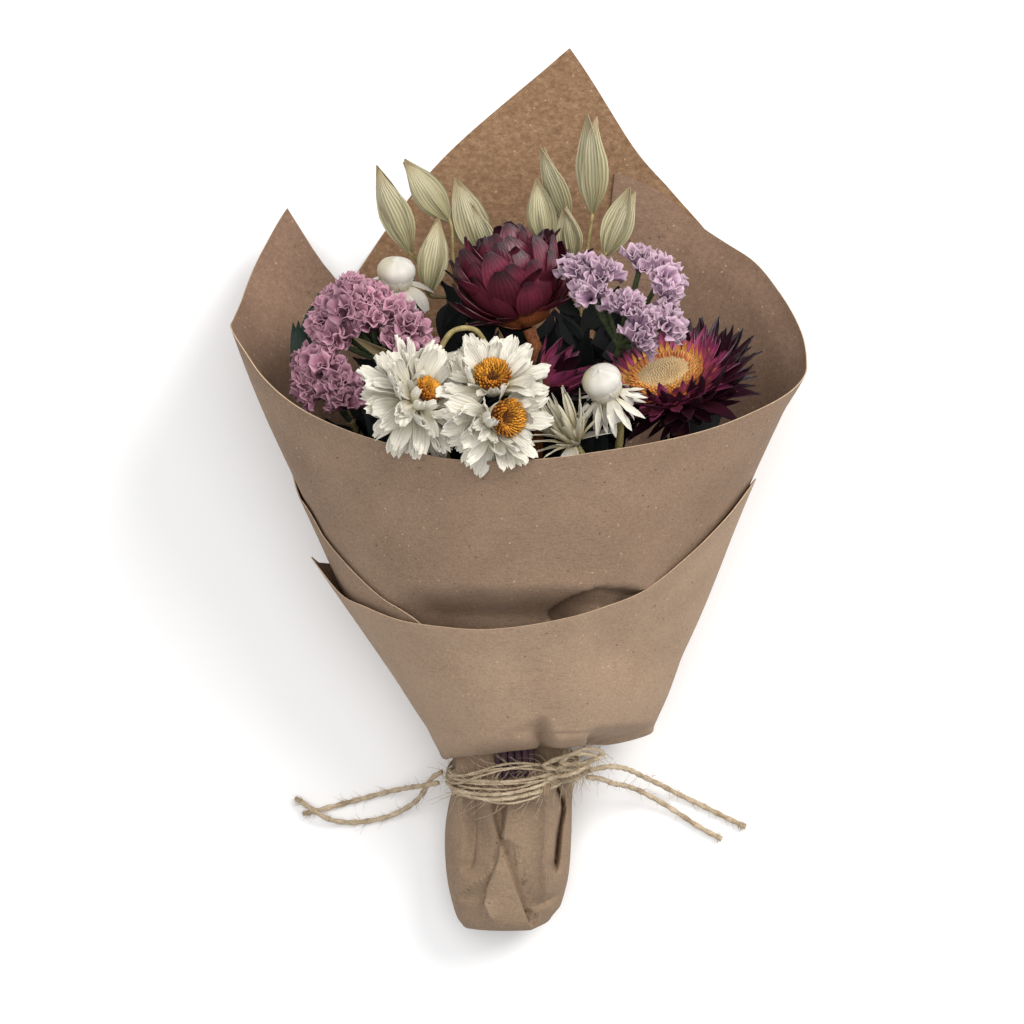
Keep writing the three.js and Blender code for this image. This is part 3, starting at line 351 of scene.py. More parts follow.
def twine(name, lines, radius=0.74, pitch=7.6, closed=False, seed=1):
    """Laid twine along one or more lines in millimetres, as one mesh."""
    rng = random.Random(seed)
    piece = empty_curve(name)
    curve = piece.data
    for line in lines:
        spline = curve.splines.new("POLY")
        spline.points.add(len(line) - 1)
        spline.use_cyclic_u = closed
        turned = rng.uniform(0, 360)
        for i, (point, place) in enumerate(zip(spline.points, line)):
            point.co = (*spot(place), 1)
            turned += (place - line[i - 1]).length / pitch * 360 if i else 0
            point.tilt = math.radians(turned)
            point.radius = radius * (1 + 0.05 * noise.noise(Vector(place) * 0.6))
    curve.bevel_mode = "OBJECT"
    curve.bevel_object = yarn_profile
    curve.use_fill_caps = not closed
    meshed(piece, jute)
    bpy.ops.object.mode_set(mode="EDIT")
    bpy.ops.mesh.select_all(action="SELECT")
    bpy.ops.mesh.remove_doubles(threshold=1e-6)
    bpy.ops.mesh.normals_make_consistent(inside=False)
    bpy.ops.object.mode_set(mode="OBJECT")
    bpy.ops.object.shade_smooth()
    return piece


def belongs(piece, slot, *nodes):
    """The piece moves with the bouquet and stands for the named solids, which it hides. slot is not used."""
    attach(piece, "root")
    if nodes:
        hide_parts(*nodes)


# %% The four loose ends
TAILS = {
    "left_a": [(-21.75, 57.4, 19.8), (-23.9, 56.8, 18), (-26.2, 56.2, 14.4), (-28.4, 55.6, 9.6),
               (-31, 54.8, 5), (-35, 53.8, 2.2), (-40, 52.4, 1.3), (-46, 50.8, 1.2), (-52, 49.2, 1.2),
               (-57.2, 48, 1.2)],
    "left_b": [(-20.8, 59.9, 15.8), (-23.3, 58.2, 13.4), (-25.2, 55, 10.4), (-27.6, 51.8, 6.8),
               (-31.4, 49, 3.2), (-36, 47, 1.6), (-41, 46, 1.2), (-46, 45.8, 1.6), (-50.4, 46.8, 3.2),
               (-53.6, 48.6, 3.7), (-56.2, 50.4, 3), (-59, 52, 1.3)],
    "right_a": [(16.75, 61.2, 29.5), (20.4, 61.8, 27.2), (24, 61.4, 21), (27.4, 60.2, 14.8), (31.2, 58, 8.6),
                (35.8, 55.6, 4.2), (40.6, 53, 1.8), (46, 50.4, 1.2), (52, 47.4, 1.2), (57.8, 44.6, 1.2)],
    "right_b": [(16.2, 59.3, 26.6), (19.6, 58.6, 23.4), (23, 57, 17.8), (26.4, 56, 12.2), (30.4, 54.2, 6.8),
                (35.2, 51.4, 3), (40, 48.4, 1.5), (45.4, 44.8, 1.2), (51.6, 41.4, 1.2)],
}
tail_lines = {side: smooth_line(points, 0.4) for side, points in TAILS.items()}
for number, (side, line) in enumerate(tail_lines.items()):
    tail = twine(f"twine_end_{side}", [line], seed=number)
    route = [spot(place) for place in line[::4] + line[-1:]]
    length = sum((b - a).length for a, b in zip(route, route[1:]))
    belongs(tail, "jute", f"twine_tail_{side}")
    print(tail.name, "is", round(length / MM, 1), "mm long, in", len(tail.data.polygons), "faces")

# %% [markdown]
# ## The tie round the neck
#
# At the neck the twine goes round several times, loosely, and ends in a flat knot on the right. The turns
# could be one long spiral, but they cross and sag, so each is its own closed loop with its own sway. Thinner
# single yarns have come loose and hang in front. One mesh holds them all, as the part does.

# %% Turns, loose yarns and knot
NECK = {"x": -2.8, "y": 60.3, "z": 18.5, "tilt": 1.5, "lean": -3.0}
NECK_POINTS = 28  # how many points draw one turn


def neck_loop(radius, shift, sway, phase, sag):
    """A closed turn round the neck. sag lets its front hang towards the foot."""
    points = []
    for i in range(NECK_POINTS):
        angle = 2 * math.pi * i / NECK_POINTS
        side, up = math.sin(angle), -math.cos(angle)
        along = shift + sway * math.cos(angle - math.radians(phase)) + NECK["tilt"] * side + NECK["lean"] * up
        along += 0.7 * noise.noise(Vector((angle * 1.4, radius * 3, phase)))
        along -= sag * max(0.0, up) ** 3
        points.append((NECK["x"] + radius * side, NECK["y"] + along, NECK["z"] + radius * up))
    return smooth_line(points, 0.5, closed=True)


turns = twine("twine_turns", [neck_loop(16.2, -0.6, 1.2, 20, 1.2), neck_loop(16.2, 0.6, 1.2, 200, 0.4),
                              neck_loop(16.6, 0, 1.3, 110, 1.8)], radius=0.52, pitch=6.4, closed=True, seed=9)
knot_points = [
    [(8.4, 61.6, 32.6), (13.6, 63, 31.8), (16.4, 61, 28.4), (11.2, 58.6, 29)],
    [(6.4, 59.2, 33), (12.2, 60.6, 33.8), (16.4, 62.2, 29.8), (12.6, 58.6, 26.8)],
    [(5, 62.6, 34.6), (12.6, 65.6, 35), (18.4, 64.6, 31), (12.4, 61.6, 31)],
    [(9.4, 63.6, 35.4), (15.6, 67, 34.6), (20, 65.4, 31), (14, 63, 31.6)],
]
knot = twine("twine_knot", [smooth_line(points, 0.4, closed=True) for points in knot_points], radius=0.6,
             pitch=7, closed=True, seed=4)
YARNS = [(-0.6, 2.2), (-1.2, 1.0), (0.4, 1.4), (0.2, 0), (1.0, -3.8), (1.6, -5.2), (0.8, -4.6)]  # shift, sag
yarns = [neck_loop(15.6 + 0.2 * i, shift, 1.0, 70 * i, sag) for i, (shift, sag) in enumerate(YARNS)]
loose = twine("loose_yarns", yarns, radius=0.33, pitch=9, closed=True, seed=5)
clear_selection()
for part in (knot, loose, turns):
    part.select_set(True)
bpy.context.view_layer.objects.active = turns
bpy.ops.object.join()
turns.name = "twine_binding_turns"
belongs(turns, "jute", "twine_binding")
print("the tie has", len(turns.data.polygons), "faces")

# %% [markdown]
# ## Loose hairs of the jute
#
# Jute sheds: fine hairs stand off everywhere, most of all at the tie and at the cut ends. Real hair would be
# drawn by a particle system, but a few hundred short curved threads, each a thin tube, are enough for a twine
# this thin, and they export as plain mesh.

# %% Hairs along the twine
def hairs(name, lines, count, reach, thickness, seed):
    """Short curved hairs that leave the lines. lines are in millimetres."""
    rng = random.Random(seed)
    piece = empty_curve(name)
    for _ in range(count):
        line = rng.choice(lines)
        i = rng.randrange(len(line) - 2)
        way = (line[i + 1] - line[i]).normalized()
        off = Vector([rng.gauss(0, 1) for _ in range(3)])
        off = (off - off.project(way)).normalized()
        bend = Vector([rng.gauss(0, 1) for _ in range(3)]) * 0.35
        length = rng.uniform(*reach)
        spline = piece.data.splines.new("POLY")
        spline.points.add(4)
        for k, point in enumerate(spline.points):
            t = k / 4
            place = line[i] + off * (0.6 + length * t * 0.8) + way * length * t * 0.7 + bend * length * t * t
            place.z = max(place.z, 0.15)
            point.co = (*spot(place), 1)
            point.radius = 1 - 0.6 * t
    piece.data.bevel_depth = thickness * MM
    piece.data.bevel_resolution = 0
    belongs(meshed(piece, jute), "jute")
    return piece


hairs("hairs_on_ends", list(tail_lines.values()), 230, (0.8, 2.4), 0.045, 3)
hairs("hairs_at_cuts", [line[-6:] for line in tail_lines.values()], 60, (0.8, 1.8), 0.06, 6)
tie_lines = [loop[len(loop) // 4:3 * len(loop) // 4] for loop in yarns]
tie_lines += [smooth_line(points, 0.4, closed=True) for points in knot_points]
tie_hairs = hairs("hairs_on_tie", tie_lines, 460, (1.5, 6.5), 0.07, 7)
print("the tie's hairs have", len(tie_hairs.data.polygons), "faces")

# %% [markdown]
# ## Kraft paper finish
#
# Brown kraft is unbleached pulp: a warm grey brown with clouds where the pulp is thicker, dark fibres, and
# pale and dark flecks. The smooth side faces out, and the rough side, which shows inside the tall back, is
# blotchier and more orange. Both come from the same group with other amounts, as they do at the mill.

# %% Kraft fibres and flecks, as a group for all the sheets
kraft, entry, leave = group(
    "kraft fibres",
    [("Place", "Vector")],
    [("Clouds", "Float"), ("Blotches", "Float"), ("Grain", "Float"), ("Dark", "Float"), ("Pale", "Float"),
     ("Height", "Float")],
)
place = entry.outputs["Place"]
clouds = add(kraft, "ShaderNodeTexNoise", Vector=place, Scale=70.0, Detail=3.0).outputs["Fac"]
brushed = add(kraft, "ShaderNodeMapping", Vector=place, Rotation=(0.5, 0.4, 0.5), Scale=(560.0, 720.0, 640.0))
blotches = add(kraft, "ShaderNodeTexNoise", Vector=brushed.outputs[0], Scale=1.0, Detail=5.0,
               Roughness=0.7).outputs["Fac"]
grain = add(kraft, "ShaderNodeTexNoise", Vector=place, Scale=1900.0, Detail=3.0).outputs["Fac"]
threads = []
for angle, across in ((0.4, 3100.0), (2.1, 2700.0), (1.2, 3600.0)):
    turned = add(kraft, "ShaderNodeMapping", Vector=place, Rotation=(0.3, 0.2, angle),
                 Scale=(380.0, across, across))
    lines = add(kraft, "ShaderNodeTexNoise", Vector=turned.outputs[0], Scale=1.0, Detail=1.0)
    threads.append(ramp(kraft, lines.outputs["Fac"], [(0.66, grey(0)), (0.74, grey(1))]))
thread = maths(kraft, "MAXIMUM", maths(kraft, "MAXIMUM", threads[0], threads[1]), threads[2])


def flecks(scale, size, share):
    """Small dots, one in some of the cells of a cell pattern."""
    cells = add(kraft, "ShaderNodeTexVoronoi", Vector=place, Scale=scale)
    dot = ramp(kraft, cells.outputs["Distance"], [(size * 0.6, grey(1)), (size, grey(0))])
    chosen = ramp(kraft, cells.outputs["Color"], [(share - 0.02, grey(1)), (share, grey(0))])
    return maths(kraft, "MULTIPLY", dot, chosen)


dark = maths(kraft, "MAXIMUM", maths(kraft, "MULTIPLY", thread, 0.45), flecks(330.0, 0.12, 0.36))
relief = maths(kraft, "ADD", maths(kraft, "MULTIPLY", blotches, 0.8), maths(kraft, "MULTIPLY", grain, 0.5))
give(kraft, leave, {"Grain": grain, "Clouds": clouds, "Blotches": blotches, "Dark": dark,
                    "Pale": flecks(460.0, 0.15, 0.4), "Height": relief})
print("the group of kraft fibres has", len(kraft.nodes), "nodes")

# %% Paper finishes
def kraft_finish(name, deep, main, light, blotch, fleck=0.6, rough=0.00012, foot_shade=None):
    """Kraft between a deep and a light tone. blotch is how blotchy it is, fleck how strong its flecks.
    The last argument is a colour that the neck and the foot are multiplied by, a painted shade that darkens
    the paper below the collar."""
    material, tree, shader = finish(name, 0.82, 0.22)
    made = add(tree, "ShaderNodeGroup", {"node_tree": kraft},
               Place=add(tree, "ShaderNodeTexCoord").outputs["Object"])
    share = maths(tree, "ADD", maths(tree, "MULTIPLY", made.outputs["Clouds"], (1 - blotch) * 0.4),
                  maths(tree, "MULTIPLY", made.outputs["Blotches"], blotch))
    share = maths(tree, "ADD", share, maths(tree, "MULTIPLY", made.outputs["Grain"], (1 - blotch) * 0.6))
    colour = ramp(tree, share, [(0.3, paint(*deep)), (0.5, paint(*main)), (0.7, paint(*light))])
    pulp = maths(tree, "MULTIPLY", made.outputs["Dark"], fleck)
    colour = blended(tree, pulp, colour, paint(*[c * 0.55 for c in deep]))
    colour = blended(tree, maths(tree, "MULTIPLY", made.outputs["Pale"], fleck), colour, paint(196, 170, 140))
    # Painted shade: from about 69 mm along the cone down to the foot, the paper is multiplied darker, as if
    # the neck and the foot lay in shade.
    if foot_shade:
        along = add(tree, "ShaderNodeSeparateXYZ",
                    Vector=add(tree, "ShaderNodeTexCoord").outputs["Object"]).outputs[1]
        held = ramp(tree, maths(tree, "MULTIPLY", along, -10.0), [(0.64, grey(0)), (0.73, grey(1))])
        colour = blended(tree, held, colour, paint(*foot_shade), "MULTIPLY")
    dress(tree, shader, colour, made.outputs["Height"], 0.6, rough)
    return material


kraft_smooth = kraft_finish("kraft_smooth", (120, 98, 80), (141, 117, 97), (160, 134, 111), 0.25)
kraft_collar = kraft_finish("kraft_collar", (138, 114, 94), (157, 133, 111), (174, 149, 125), 0.25,
                            foot_shade=(226, 226, 224))
kraft_inner = kraft_finish("kraft_inner", (108, 84, 69), (132, 106, 88), (154, 126, 104), 0.4)
kraft_rough = kraft_finish("kraft_rough", (98, 70, 49), (132, 102, 76), (164, 134, 104), 0.62, 0.5, 0.00024)
# The cut edge is paler than the faces: a painted highlight along the thin rim, where the light catches it.
cut_edge = fibrous("cut_edge", (168, 142, 116), (196, 170, 142), 3000.0)
print("paper finishes:",
      [each.name for each in (kraft_smooth, kraft_collar, kraft_inner, kraft_rough, cut_edge)])

# %% [markdown]
# ## Rolled sheets
#
# Each sheet is a flat piece of paper rolled into the cone. By hand that would be a grid that is bent with the
# mouse, but a roll is a rule: a point so far along the sheet and so far round the cone has one place. So the
# grid is added with the usual operator, its points are carried there by that rule, and the thickness is a
# Solidify modifier that is then applied. The cut edge follows a curve through the corners that the scissors
# left.

# %% The rule of the roll
SHEET_GAP = {"front": -0.05, "back": 1.0, "collar": 2.3}  # how far each sheet lies outside the cone
COLLAR_WIDTH = 19.1, 0.665, 67  # half its width at the neck, its growth along the cone, and where the neck is
RIGHT_SLOPE, LEFT_SLOPE = 0.43, 0.42  # how fast the paper widens to each side
MIDDLE_SLOPE, TOP_SLOPE = 0.3, 0.64  # how fast the cone's middle and its top rise from the table


def smoothed(share):
    """0 below 0, 1 above 1, and an easy slope between."""
    share = np.clip(share, 0, 1)
    return share * share * (3 - 2 * share)


def rolled(along, turn, out, collar=False):
    """The place of a point that far along the cone and that many degrees round it, out millimetres
    outside."""
    angle = np.radians(turn)
    narrowest, growth, neck_at = COLLAR_WIDTH
    held = narrowest + growth * (along - neck_at)
    left = held if collar else np.minimum(LEFT_SLOPE * along, held)
    half = np.where(np.sin(angle) > 0, RIGHT_SLOPE * along, left) + out
    middle = MIDDLE_SLOPE * along + 1
    rise = TOP_SLOPE * along + 1 - middle + out
    flat = np.interp(along, [118, 128], [2.35, 1.05]) - out
    height = np.maximum(np.maximum(flat, middle - rise * np.cos(angle)), 0.02)
    return np.stack([half * np.sin(angle), along + 0 * out, height], axis=-1)


for far in (80, 120, 160):
    right, left = rolled(far, 90, 0)[0], rolled(far, 270, 0)[0]
    print("at", far, "mm along, the cone is", round(float(right - left), 1), "mm wide")


def edge_at(table, corners, turn):
    """How far a sheet reaches at a turn: a smooth curve through its table, sharp at the named corners."""
    turns = np.array([row[0] for row in table], float)
    reach = np.array([row[1] for row in table], float)
    slope = np.diff(reach) / np.diff(turns)
    mean = np.concatenate([[slope[0]], (slope[1:] + slope[:-1]) / 2, [slope[-1]]])
    sharp = np.isin(turns, corners)
    i = np.clip(np.searchsorted(turns, turn, side="right") - 1, 0, len(slope) - 1)
    span = turns[i + 1] - turns[i]
    t = np.clip((turn - turns[i]) / span, 0, 1)
    start = np.where(sharp[i], slope[i], mean[i]) * span
    end = np.where(sharp[i + 1], slope[i], mean[i + 1]) * span
    return ((2 * t ** 3 - 3 * t ** 2 + 1) * reach[i] + (t ** 3 - 2 * t ** 2 + t) * start
            + (3 * t ** 2 - 2 * t ** 3) * reach[i + 1] + (t ** 3 - t ** 2) * end)


def stations(first, last, count, corners, dense=None):
    """Turns for the columns of a sheet, with one exactly on each corner. dense gives the front more of
    them."""
    places = np.linspace(0, 1, count + 1)
    if dense:
        low, high, share = dense
        places = np.interp(places, [0, (1 - share) / 2, (1 + share) / 2, 1], [first, low, high, last])
    else:
        places = first + (last - first) * places
    for corner in corners:
        places[np.argmin(np.abs(places - corner))] = corner
    return places


def carried(name, columns, rows, put):
    """A flat grid whose points are carried to where put(column, row) says, in millimetres."""
    clear_selection()
    bpy.ops.mesh.primitive_grid_add(x_subdivisions=columns, y_subdivisions=rows, size=1)
    piece = bpy.context.object
    piece.name = name
    flat = np.empty(3 * len(piece.data.vertices))
    piece.data.vertices.foreach_get("co", flat)
    flat = flat.reshape(-1, 3)
    column = np.rint((flat[:, 0] + 0.5) * columns).astype(int)
    row = np.rint((flat[:, 1] + 0.5) * rows).astype(int)
    places = (put(column, row) + np.array(CONE_FOOT)) * MM
    piece.data.vertices.foreach_set("co", places.ravel())
    piece.data.update()
    return piece


PAPER_THICKNESS = 0.28  # millimetres


def sheet(name, columns, rows, put, face, inner, slot, node):
    """A whole sheet: the carried grid with its faces turned out, its seam welded, its thickness and its
    finishes."""
    piece = carried(name, columns, rows, put)
    bpy.ops.object.mode_set(mode="EDIT")
    bpy.ops.mesh.select_all(action="SELECT")
    bpy.ops.mesh.flip_normals()
    bpy.ops.mesh.remove_doubles(threshold=1e-6)
    bpy.ops.object.mode_set(mode="OBJECT")
    piece.data.materials.append(face)
    piece.data.materials.append(cut_edge)
    piece.data.materials.append(inner)
    wall = piece.modifiers.new("thickness", "SOLIDIFY")
    wall.thickness = PAPER_THICKNESS * MM
    wall.offset = -1
    wall.material_offset_rim = 1
    wall.material_offset = 2
    bpy.ops.object.modifier_apply(modifier=wall.name)
    bpy.ops.object.shade_smooth_by_angle(angle=math.radians(50))
    belongs(piece, slot, node)
    print(piece.name, "has", len(piece.data.polygons), "faces")


# %% [markdown]
# A sheet that hands have rolled is never a true cone. It waves a little, it is pressed in where fingers held
# it, it flares at its rim, and it buckles where it is squeezed. Each of these is a small move in or out, so
# they are added up before the point is placed. Waves are shared by all sheets, so that layers move together
# and never cross.

# %% Waves, dents and creases
def waves(along, turn):
    """Slow unevenness of the rolled paper, in millimetres outwards, and none where it lies on the table."""
    angle = np.radians(turn)
    wave = 0.55 * np.sin(3 * angle + 0.045 * along) + 0.35 * np.sin(5 * angle - 0.07 * along + 1.0)
    wave += 0.25 * np.sin(0.11 * along + 2 * angle)
    lifted = smoothed((np.abs(((turn + 180) % 360) - 180) - 45) / 50)
    return wave * lifted * smoothed((along - 60) / 40)


def dent(x, y, middle, size, depth):
    """A soft hollow, or a bulge where depth is negative, round a point seen from above."""
    return -depth * np.exp(-((x - middle[0]) / size[0]) ** 2 - ((y - middle[1]) / size[1]) ** 2)


def crease(x, y, points, width, depth, kind="ridge", soft=1.1):
    """A fold along a line seen from above. A ridge stands up on both sides, and a step drops on its left side
    only, as where one layer ends on another, over the distance soft. It fades over 3 mm towards its two
    ends."""
    best = np.full(x.shape, 1e9)
    side = np.zeros(x.shape)
    passed = np.zeros(x.shape)
    total = sum(math.dist(a, b) for a, b in zip(points, points[1:]))
    done = 0.0
    for (ax, ay), (bx, by) in zip(points, points[1:]):
        length = math.dist((ax, ay), (bx, by))
        ux, uy = (bx - ax) / length, (by - ay) / length
        t = np.clip((x - ax) * ux + (y - ay) * uy, 0, length)
        away = np.hypot(x - ax - t * ux, y - ay - t * uy)
        nearer = away < best
        best = np.where(nearer, away, best)
        side = np.where(nearer, ux * (y - ay) - uy * (x - ax), side)
        passed = np.where(nearer, done + t, passed)
        done += length
    ends = smoothed(passed / 3) * smoothed((total - passed) / 3)
    if kind == "ridge":
        return depth * np.exp(-best / width) * ends
    drop = smoothed(side / soft + 0.5) * np.exp(-np.maximum(side, 0) / width)
    return -depth * np.where(np.abs(side) <= best + 1e-6, drop, 0) * ends


# %% [markdown]
# ## Front sheet
#
# The front sheet makes the right wall, the front panel and the left wall with its standing flap. It is
# pressed in just above the collar, which gives the dark band there, and buckles a little to the right of the
# middle.

# %% Roll the front sheet
FRONT_EDGE = [
    (15, 214.7), (18.8, 212.6), (22.5, 210.3), (26.4, 206.4), (32.4, 200.2), (37.5, 196.2), (45.5, 190.8),
    (55, 182.7), (68, 172.7), (81.5, 164), (90, 161), (104, 156.6), (119, 151.5), (138, 145.5), (163, 140.6),
    (181, 138.5), (200, 139.2), (210, 141.8), (224.5, 145.8), (241.5, 152.9), (252, 160.4), (257, 165.8),
    (266, 171), (279, 174.5), (289.5, 179.6), (305, 193), (315, 204.3), (319, 192), (323, 184), (333, 157),
    (344, 117), (352, 96),
]
COLLAR_EDGE = [
    (0, 114), (30, 118), (60, 128), (82, 133), (95, 134.6), (106, 131.6), (115, 124.6), (125, 116.8),
    (140.5, 107.4), (156, 102.8), (169, 100.2), (181, 98.5), (195, 97.7), (209, 98.3), (225, 99.9),
    (237.5, 102.7), (256.5, 107), (270, 115.6), (277.5, 113.5), (300, 113), (330, 113.5), (360, 114),
]
FRONT_COLUMNS, FRONT_ROWS = 230, 84
FRONT_CORNERS = [315]
COLLAR_CORNERS = [270, 277.5]
SHEET_START = 74  # how far along the cone the front and back sheets begin, hidden under the collar


def front_place(column, row):
    """Where a point of the front sheet's grid goes, with the sheet's dents, its buckle and its flared rim."""
    turn = front_turns[column]
    edge = edge_at(FRONT_EDGE, FRONT_CORNERS, turn)
    along = SHEET_START + (edge - SHEET_START) * row / FRONT_ROWS
    out = SHEET_GAP["front"] + waves(along, turn)
    flat = rolled(along, turn, out)
    x, y = flat[:, 0], flat[:, 1]
    shown = smoothed((turn - 100) / 20) * smoothed((250 - turn) / 20)
    under = smoothed((edge_at(COLLAR_EDGE, COLLAR_CORNERS, turn) - 1.5 - along) / 6)
    pressed = -8.6 * smoothed((109 - along) / 9) * smoothed((20 - x) / 8) * smoothed((x + 34) / 10)
    pressed = np.minimum(pressed, -3.6 * under) * smoothed((along - 76) / 6)
    buckle = dent(x, y, (18.4, 103.6), (5.0, 2.3), 3.0)
    buckle += crease(x, y, [(31, 106), (25, 107.8), (19, 108), (14, 106), (7, 101)], 12.0, 7.0, "step")
    swell = dent(x, y, (5, 114), (14, 15), 2.4) + dent(x, y, (25, 117), (8, 20), -2.4)
    rim = smoothed((along - edge + 9) / 9)
    flare = 1.1 * rim * smoothed((turn - 20) / 20) * smoothed((125 - turn) / 20)
    out = out + shown * (pressed + buckle + swell) + flare
    return rolled(along, turn, out)


front_turns = stations(15, 352, FRONT_COLUMNS, FRONT_CORNERS)
sheet("front_sheet", FRONT_COLUMNS, FRONT_ROWS, front_place, kraft_smooth, kraft_inner, "kraft_front",
      "paper_front")

# %% [markdown]
# ## Back sheet
#
# The back sheet stands up in the tall peak behind the flowers, and its left side wraps over the front sheet
# at the lower left, where its edge shows as a thin line. Its rough, blotchy side faces us.

# %% Roll the back sheet
BACK_EDGE = [
    (-158, 84), (-150, 92), (-141.6, 99.4), (-127.5, 106.2), (-118, 112.1), (-110, 117.5), (-105.5, 120.7),
    (-103, 125.4), (-90, 131), (-75, 142), (-60, 156), (-45, 174), (-33.6, 187), (-24.8, 199.7),
    (-14.1, 216.6), (2, 239.7), (6.5, 247), (17.5, 221), (24.8, 210.1), (30.9, 202.2), (37.5, 194),
    (45, 185.5), (60, 169), (78, 153),
]
BACK_COLUMNS, BACK_ROWS = 210, 50
BACK_CORNERS = [6.5, -105.5]


def back_place(column, row):
    """Where a point of the back sheet's grid goes."""
    turn = back_turns[column]
    edge = edge_at(BACK_EDGE, BACK_CORNERS, turn)
    along = SHEET_START + (edge - SHEET_START) * row / BACK_ROWS
    return rolled(along, turn, SHEET_GAP["back"] + waves(along, turn % 360))


back_turns = stations(-158, 78, BACK_COLUMNS, BACK_CORNERS)
sheet("back_sheet", BACK_COLUMNS, BACK_ROWS, back_place, kraft_smooth, kraft_rough, "kraft_back",
      "paper_back")

# %% [markdown]
# ## Collar, neck and foot
#
# The last sheet is a low collar. Below it the same paper is gathered at the neck, pleated under the twine,
# and folded shut round the stems. It could be modelled as a bag in pieces, but a gathered sheet has no seams,
# so it is one closed grid with its rows on the cross sections from the closed foot to the rim. The collar
# hangs over the gathered neck, so two of the sections turn back under its hem. Pleats are a ripple that is
# deep at the neck and fades both ways, and the few large folds of the foot are creases, each drawn where it
# is.

# %% Cross sections from foot to rim
FOOT = [  # y, middle, half width, low, high, tilt, lean
    (19.5, -4.2, 0.4, 9, 11, 0, 0),
    (19.4, -4.2, 9.6, 2.4, 18, 0, 0),
    (20.6, -4.2, 11.6, 1.2, 21, 0, 0),
    (24, -4.2, 13.4, 0.3, 23, 0, 0),
    (33, -4, 15.6, 0.05, 25.6, 0, 0),
    (44, -3.9, 16.2, 0.05, 27.4, 0, -0.5),
    (52, -3.4, 15.6, 0.8, 29.6, 0.7, -1.5),
    (57.4, -2.8, 14.6, 3.9, 33.1, 1.5, -3),
    (63.2, -2.8, 14.6, 3.9, 33.1, 1.5, -3),
]
ROW_COUNTS = [3, 3, 6, 14, 14, 12, 12, 10, 7, 6, 8, 8, 52]
COLLAR_COLUMNS = 224
COLLAR_START = 72  # where the neck's sections end and the collar's own cone begins
collar_turns = stations(0, 360, COLLAR_COLUMNS, [0, 360], dense=(95, 265, 0.72))


def collar_sections(turn):
    """The places of the collar's main rows at each turn, from the middle of the foot's end to the rim."""
    side, up = np.sin(np.radians(turn)), -np.cos(np.radians(turn))
    rows = []
    for y, middle, half, low, high, tilt, lean in FOOT:
        rows.append(np.stack([middle + half * side, y + tilt * side + lean * up,
                              (low + high) / 2 + (high - low) / 2 * up], axis=-1))
    front = np.maximum(up, 0)
    rows.append(np.stack([-2.6 + 15.4 * side, 66 + 2 * side + 1.3 * front, 18.6 + 14.4 * up], axis=-1))
    half = np.where(side > 0, 22.2, 19.2)
    rows.append(np.stack([-1 + half * side, 65.2 + 1.8 * side + 1.4 * front, 20.3 + 19.1 * up], axis=-1))
    for y, tilt, lean in ((68.2, 1.4, 0.9), (COLLAR_START, 0, 0)):
        row = rolled(np.full(turn.shape, float(y)), turn, np.full(turn.shape, SHEET_GAP["collar"]), True)
        row[:, 1] += tilt * side + lean * front
        rows.append(row)
    return np.array(rows)


def pleats(turn, y):
    """The gathers under the twine, deep at the neck and fading both ways."""
    angle = np.radians(turn)
    ripple = np.abs(np.sin(5.5 * angle + 0.6 * np.sin(2 * angle + 0.7))) ** 0.8 - 0.6
    ripple += 0.45 * np.abs(np.sin(9 * angle + 1.1)) - 0.2
    return ripple * (1.5 * np.exp(-((y - 60) / 4.5) ** 2) + 0.9 * np.exp(-np.abs(y - 57) / 9))


FOOT_FOLDS = [
    ([(-8.6, 55), (-7.8, 47.6), (-6.6, 44.4), (-5.3, 47), (-4.4, 55)], 2.0, 2.6, "step"),
    ([(-10.2, 26), (-9.8, 31), (-7.4, 36), (-6.4, 41), (-5.2, 46), (-3.8, 55)], 4.2, 2.6, "step"),
    ([(-6.5, 38), (-9.6, 34.2), (-13.2, 31.4), (-15.8, 29), (-16.4, 24)], 1.5, 2.2, "ridge"),
    ([(-15.4, 56), (-15.2, 46), (-15.6, 38), (-17.2, 34)], 3.4, 3.2, "step"),
    ([(4.8, 60), (3.9, 48), (3.8, 38), (4.6, 27)], 1.1, 3.0, "ridge"),
    ([(6.9, 60), (7.2, 47), (6.4, 36)], 0.7, 1.6, "ridge"),
    ([(6.8, 61), (8.8, 54.3), (9.6, 51), (8.4, 44), (7.4, 34)], 1.6, 2.0, "step"),
    ([(-10.2, 29), (-8.4, 25), (-6.6, 21)], 1.3, 2.2, "ridge"),
    ([(2, 25), (6, 26.4), (10.5, 28.6)], 1.4, 1.4, "step"),
]


SLIT = [(7.4, 60), (9.4, 54.3), (10.2, 51), (9, 44), (8, 34)]
TUCK = [(9.4, 62), (8.6, 66), (6.6, 71), (4.6, 76.6)]
TUCK_LIP = [(10, 63), (9.2, 66), (7.2, 71), (5, 76.6)]


def tuck_at_neck(x, y):
    """The gather over the knot, deeper towards the hem, and the hollow to the right of it."""
    deep = crease(x, y, TUCK, 3.4, 13.0, "step", soft=2.6) + crease(x, y, TUCK_LIP, 1.1, 1.2)
    turned_in = -7.5 * smoothed((73.6 - y) / 4.6) * smoothed((x - 15) / 5)
    return deep * smoothed((79 - y) / 11) + turned_in


